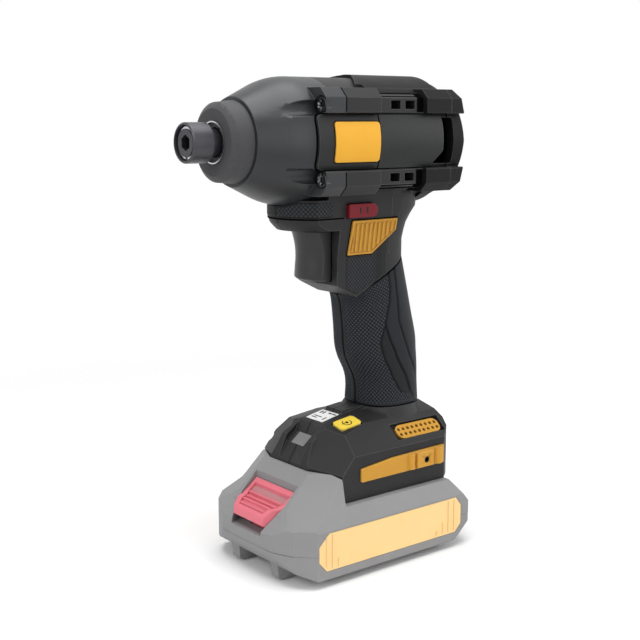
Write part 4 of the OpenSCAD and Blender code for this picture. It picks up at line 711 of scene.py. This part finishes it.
def outline(x0, x1, half, r, closed):
    # rounded rectangle from its upper rear end over the front: x, height and outward direction in equal steps
    quarter = np.linspace(0, np.pi / 2, gaps["cornerSteps"])
    turns = [(x1 - r, half - r, np.pi / 2 - quarter), (x1 - r, r - half, -quarter)]
    if closed:
        turns += [(x0 + r, r - half, -np.pi / 2 - quarter), (x0 + r, half - r, np.pi - quarter)]
    rows = [np.stack([cx + r * np.cos(t), ch + r * np.sin(t), np.cos(t), np.sin(t)], 1) for cx, ch, t in turns]
    if closed:
        rows = rows + [rows[0][:1] - np.array([[gaps["openMm"], 0, 0, 0]])]
    else:
        rows = [np.array([[x0, half, 0.0, 1.0]])] + rows + [np.array([[x0, -half, 0.0, -1.0]])]
    rows = np.concatenate(rows)
    return [evenly(rows[:, :2], gaps["count"], rows[:, k])[0] for k in range(4)]


def onRound(edges, radius):
    # strip on the head's round surface between two edges (x, height): y squared is radius squared less height squared
    x, h = (np.stack([edge[k] for edge in edges]) for k in (0, 1))
    r = radius + 0 * x
    y = np.sqrt(r ** 2 - h ** 2)
    return slab(*(np.stack([x, y * (1 + d / r), headZ + h * (1 + d / r)], -1) for d in roundStrip))


x, h, outX, outH = outline(*gaps["panel"], closed=False)
wide = gaps["wideMm"] + gaps["frontMm"] * ramp(x, *gaps["frontX"])
edges = [(x + d * outX, h + d * outH) for d in (gaps["clearMm"] + 0 * x, wide)]
strips = [onRound(edges, caseRadius(np.stack([edge[0] for edge in edges])))]
x, h, outX, outH = outline(*gaps["plate"], closed=True)
strips.append(onRound([(x + d * outX, h + d * outH) for d in (0.0, gaps["plateMm"])], gaps["panelR"]))
h = np.linspace(-gaps["splitHalf"], gaps["splitHalf"], gaps["splitCount"])
strips.append(onRound([(x0 + 0 * h, h) for x0 in gaps["split"]], gaps["panelR"]))
piece("panel_gap_shade", bothSides(together(strips)), "paintedShadeBlack", "tool")

# painted shadow: a black strip in the gap round the vent panels, in the plane of the shroud's side: corners, and how
# each moves outwards
ventGap = {"corners": [[-7, 8.2], [-35, 8.2], [-34.5, 2.5], [-20.5, -8.4], [-5.5, -8.4]],
           "moves": [[1, 1], [-1, 1], [-1, 0], [-0.5, -1], [1, -1]],
           "reach": (0.03, 0.6), "origin": (0, 16.95, 159.8), "tilt": -8, "closes": 0.995}
loop = np.stack([np.array(ventGap["corners"]) + d * np.array(ventGap["moves"]) for d in ventGap["reach"]])
loop = np.concatenate([loop, loop[:, -1:] + ventGap["closes"] * (loop[:, :1] - loop[:, -1:])], 1)
sheets = (np.stack([loop[..., 0], 0 * loop[..., 0] + d, loop[..., 1]], -1) for d in flatStrip)
ventRing = turned(slab(*sheets), ventGap["origin"], ventGap["tilt"])
piece("vent_panel_gap_shade", bothSides(ventRing), "paintedShadeBlack", "tool")

# threaded inserts in the rails' screw holes: a thin tube with a floor and a domed lip, turned about Y; their black is
# painted shade in the holes
insert = {"x": -42.6, "z": 48.1, "outer": 1.6, "inner": 1.15, "axis": 0.02, "from": 28.2, "to": 34.1, "floor": 0.5,
          "lip": 0.1, "lipIn": 0.15}
tube = np.array([[insert["from"], insert["axis"]], [insert["from"], insert["outer"]], [insert["to"], insert["outer"]],
                 [insert["to"] + insert["lip"], insert["outer"] - insert["lipIn"]], [insert["to"], insert["inner"]],
                 [insert["from"] + insert["floor"], insert["inner"]],
                 [insert["from"] + insert["floor"], insert["axis"]]])
points, faces = lathe(tube, turns=36)
points = points[:, [1, 0, 2]] + np.array([insert["x"], 0, insert["z"] - headZ])
piece("rail_inserts", bothSides((points, faces)), "print", "tool")

# tongue of the housing inside its parting line at the back, black as painted shade in the seam: x and z of its outer
# edge, from the foot up
tongue = {"line": [[-63.3, 37], [-63.3, 61], [-59.6, 69.5], [-58.5, 73], [-58.3, 83], [-58.1, 92], [-57.6, 100],
                   [-56.9, 108], [-53.9, 120], [-50.7, 134], [-47.3, 150], [-47.3, 157], [-48.6, 161.5],
                   [-52.2, 166], [-55.9, 170.6], [-56.8, 176]], "wideMm": 1.7, "halfMm": 0.07}
edge = np.array(tongue["line"])[:, None, :] + np.array([[[0, 0], [tongue["wideMm"], 0]]])
sheet = np.stack([edge[..., 0], np.full(edge.shape[:2], tongue["halfMm"]), edge[..., 1]], -1)
piece("housing_tongue", slab(sheet, sheet * np.array([1, -1, 1])), "print", "tool")

# two slots on each end of the selector, drawn as black bars: painted shade in the slots
slots = {"x": (-10.6, -14.8), "wideMm": 0.9, "z": (171.4, 174.2), "y": (20.56, 20.3)}
slotBars = together([bar(x0, x0 + slots["wideMm"], *slots["z"], *slots["y"]) for x0 in slots["x"]])
piece("selector_slot_shade", bothSides(upright(slotBars)), "print", "selector")

# plain strokes on the white label, in its plane: u range and v range of each
signs = {"strokes": [(-4.2, -1.6, -4.6, -3.6), (-4.2, -1.6, -2.6, -1.6), (-4.2, -3.2, 0.4, 3.0), (-4.2, -3.2, 3.6, 6.2),
                     (1.2, 1.9, -4.6, 1.4), (2.8, 3.5, -4.6, -0.6), (0.6, 3.6, 3.6, 4.5)],
         "top": 0.4, "bottom": 0.2, "origin": (-3.3, 0, 69.78), "tilt": (0, 11.2)}
strokes = together([bar(*stroke, signs["top"], signs["bottom"]) for stroke in signs["strokes"]])
piece("label_signs", turned(strokes, signs["origin"], *signs["tilt"]), "print", "tool")

# dial on the mode button, in its plane: arc, hand and dot; degrees, steps, radii and top of arc and dot
dial = {"arc": ((-60, 200), 40, (2.0, 2.45), 0.66), "dot": ((0, 359.9), 25, (0.05, 0.85), 0.67),
        "hand": (-0.3, 3.2, -0.2, 0.2, 0.66), "bottom": 0.4, "origin": (-7.1, 14.4, 68.43), "tilt": (-14, 8)}


def ringPlate(degrees, steps, reach, top):
    sweep, radius = np.meshgrid(np.radians(np.linspace(*degrees, steps)), reach, indexing="ij")
    return plate(radius * np.cos(sweep), radius * np.sin(sweep), top, dial["bottom"])


marks = together([ringPlate(*dial["arc"]), bar(*dial["hand"], dial["bottom"]), ringPlate(*dial["dot"])])
piece("mode_dial", turned(marks, dial["origin"], *dial["tilt"]), "print", "mode_button")

# upright ribs near both ends of the pack's side plates: place, lowest and highest point in mm
ribs = {"at": [(-57.5, 9.4, 25.0), (-53.6, 9.2, 25.2), (-49.7, 9.2, 15.0), (-45.4, 9.2, 11.4), (25.2, 10.2, 25.2),
               (21.6, 9.2, 25.4), (18.0, 9.2, 13.0)], "halfMm": 0.35, "y": (39.35, 38.8)}
bars = together([bar(x0 - ribs["halfMm"], x0 + ribs["halfMm"], z0, z1, *ribs["y"]) for x0, z0, z1 in ribs["at"]])
piece("pack_label_ribs", bothSides(upright(bars)), "packLabel", "pack")

# painted shade in the dish of the latch: a thin darker sheet on its slope, x and z at the upper and lower edge
dish = {"x": (27.8, 30.95), "z": (36.66, 34.14), "half": 14.2, "liftMm": 0.07, "sunkMm": 0.2}
x, y = np.meshgrid(dish["x"], [-dish["half"], dish["half"]])
z = np.interp(x, dish["x"], dish["z"])
sheets = (np.stack([x, y, z + d], -1) for d in (dish["liftMm"], -dish["sunkMm"]))
piece("latch_dish_shade", slab(*sheets), "latchDishShade", "latch")
print("small pieces ready")

# plain studio, in metres: pale floor that fades into the white room, one large soft lamp and three weaker ones
studio = {"floor": "#f6f6f6", "floorR": 0.6, "floorZ": -0.0002, "sides": 64, "fadeFrom": 0.26, "fadeTo": 0.5,
          "room": 0.33, "aim": (0, 0, 0.12)}
# name, place, size and watts
lamps = [("topLamp", (0.0, 0.05, 0.95), 0.8, 8.8), ("noseLamp", (0.75, 0.05, 0.5), 0.5, 2.4),
         ("sideLamp", (0.0, 0.9, 0.35), 0.7, 2.3), ("backLamp", (-0.7, 0.35, 0.35), 0.4, 1.6)]
for name, spot, size, watts in lamps:
    light = bpy.data.lights.new(name, "AREA")
    light.size, light.energy = size, watts
    lamp = bpy.data.objects.new(name, light)
    lamp.location = spot
    lamp.rotation_euler = (Vector(studio["aim"]) - Vector(spot)).to_track_quat("-Z", "Y").to_euler()
    bpy.context.scene.collection.objects.link(lamp)
ring = np.linspace(0, 2 * np.pi, studio["sides"], endpoint=False)
rim = np.stack([studio["floorR"] * np.cos(ring), studio["floorR"] * np.sin(ring), 0 * ring + studio["floorZ"]], 1)
floorMesh = bpy.data.meshes.new("floor")
floorMesh.from_pydata(rim.tolist(), [], [list(range(studio["sides"]))])
floor = bpy.data.objects.new("floor", floorMesh)
bpy.context.scene.collection.objects.link(floor)
paper, tree = newFinish("seamlessPaper")
place = put(tree, "ShaderNodeTexCoord").outputs["Object"]
away = put(tree, "ShaderNodeVectorMath", {"operation": "LENGTH"}, {0: place})
fade = put(tree, "ShaderNodeMapRange", {"From Min": studio["fadeFrom"], "From Max": studio["fadeTo"]},
           {"Value": away.outputs["Value"]})
clear = put(tree, "ShaderNodeBsdfTransparent")
matt = put(tree, "ShaderNodeBsdfDiffuse", {"Color": linear(studio["floor"])})
both = put(tree, "ShaderNodeMixShader", {}, {0: fade.outputs["Result"], 1: matt.outputs["BSDF"],
                                             2: clear.outputs["BSDF"]})
put(tree, "ShaderNodeOutputMaterial", {}, {"Surface": both.outputs["Shader"]})
floorMesh.materials.append(paper)

# the room is full white to the camera and in reflections, and weaker as a light
room = bpy.data.worlds.new("whiteRoom")
room.use_nodes = True
tree = room.node_tree
tree.nodes.clear()
path = put(tree, "ShaderNodeLightPath")
mirrorRay = put(tree, "ShaderNodeMath", {"operation": "MAXIMUM"},
                {0: path.outputs["Is Glossy Ray"], 1: path.outputs["Is Transmission Ray"]})
shownRay = put(tree, "ShaderNodeMath", {"operation": "MAXIMUM"},
               {0: path.outputs["Is Camera Ray"], 1: mirrorRay.outputs["Value"]})
level = put(tree, "ShaderNodeMapRange", {"To Min": studio["room"], "To Max": 1.0},
            {"Value": shownRay.outputs["Value"]})
glow = put(tree, "ShaderNodeBackground", {"Color": (1, 1, 1, 1)}, {"Strength": level.outputs["Result"]})
put(tree, "ShaderNodeOutputWorld", {}, {"Surface": glow.outputs["Background"]})
bpy.context.scene.world = room
print("studio ready")
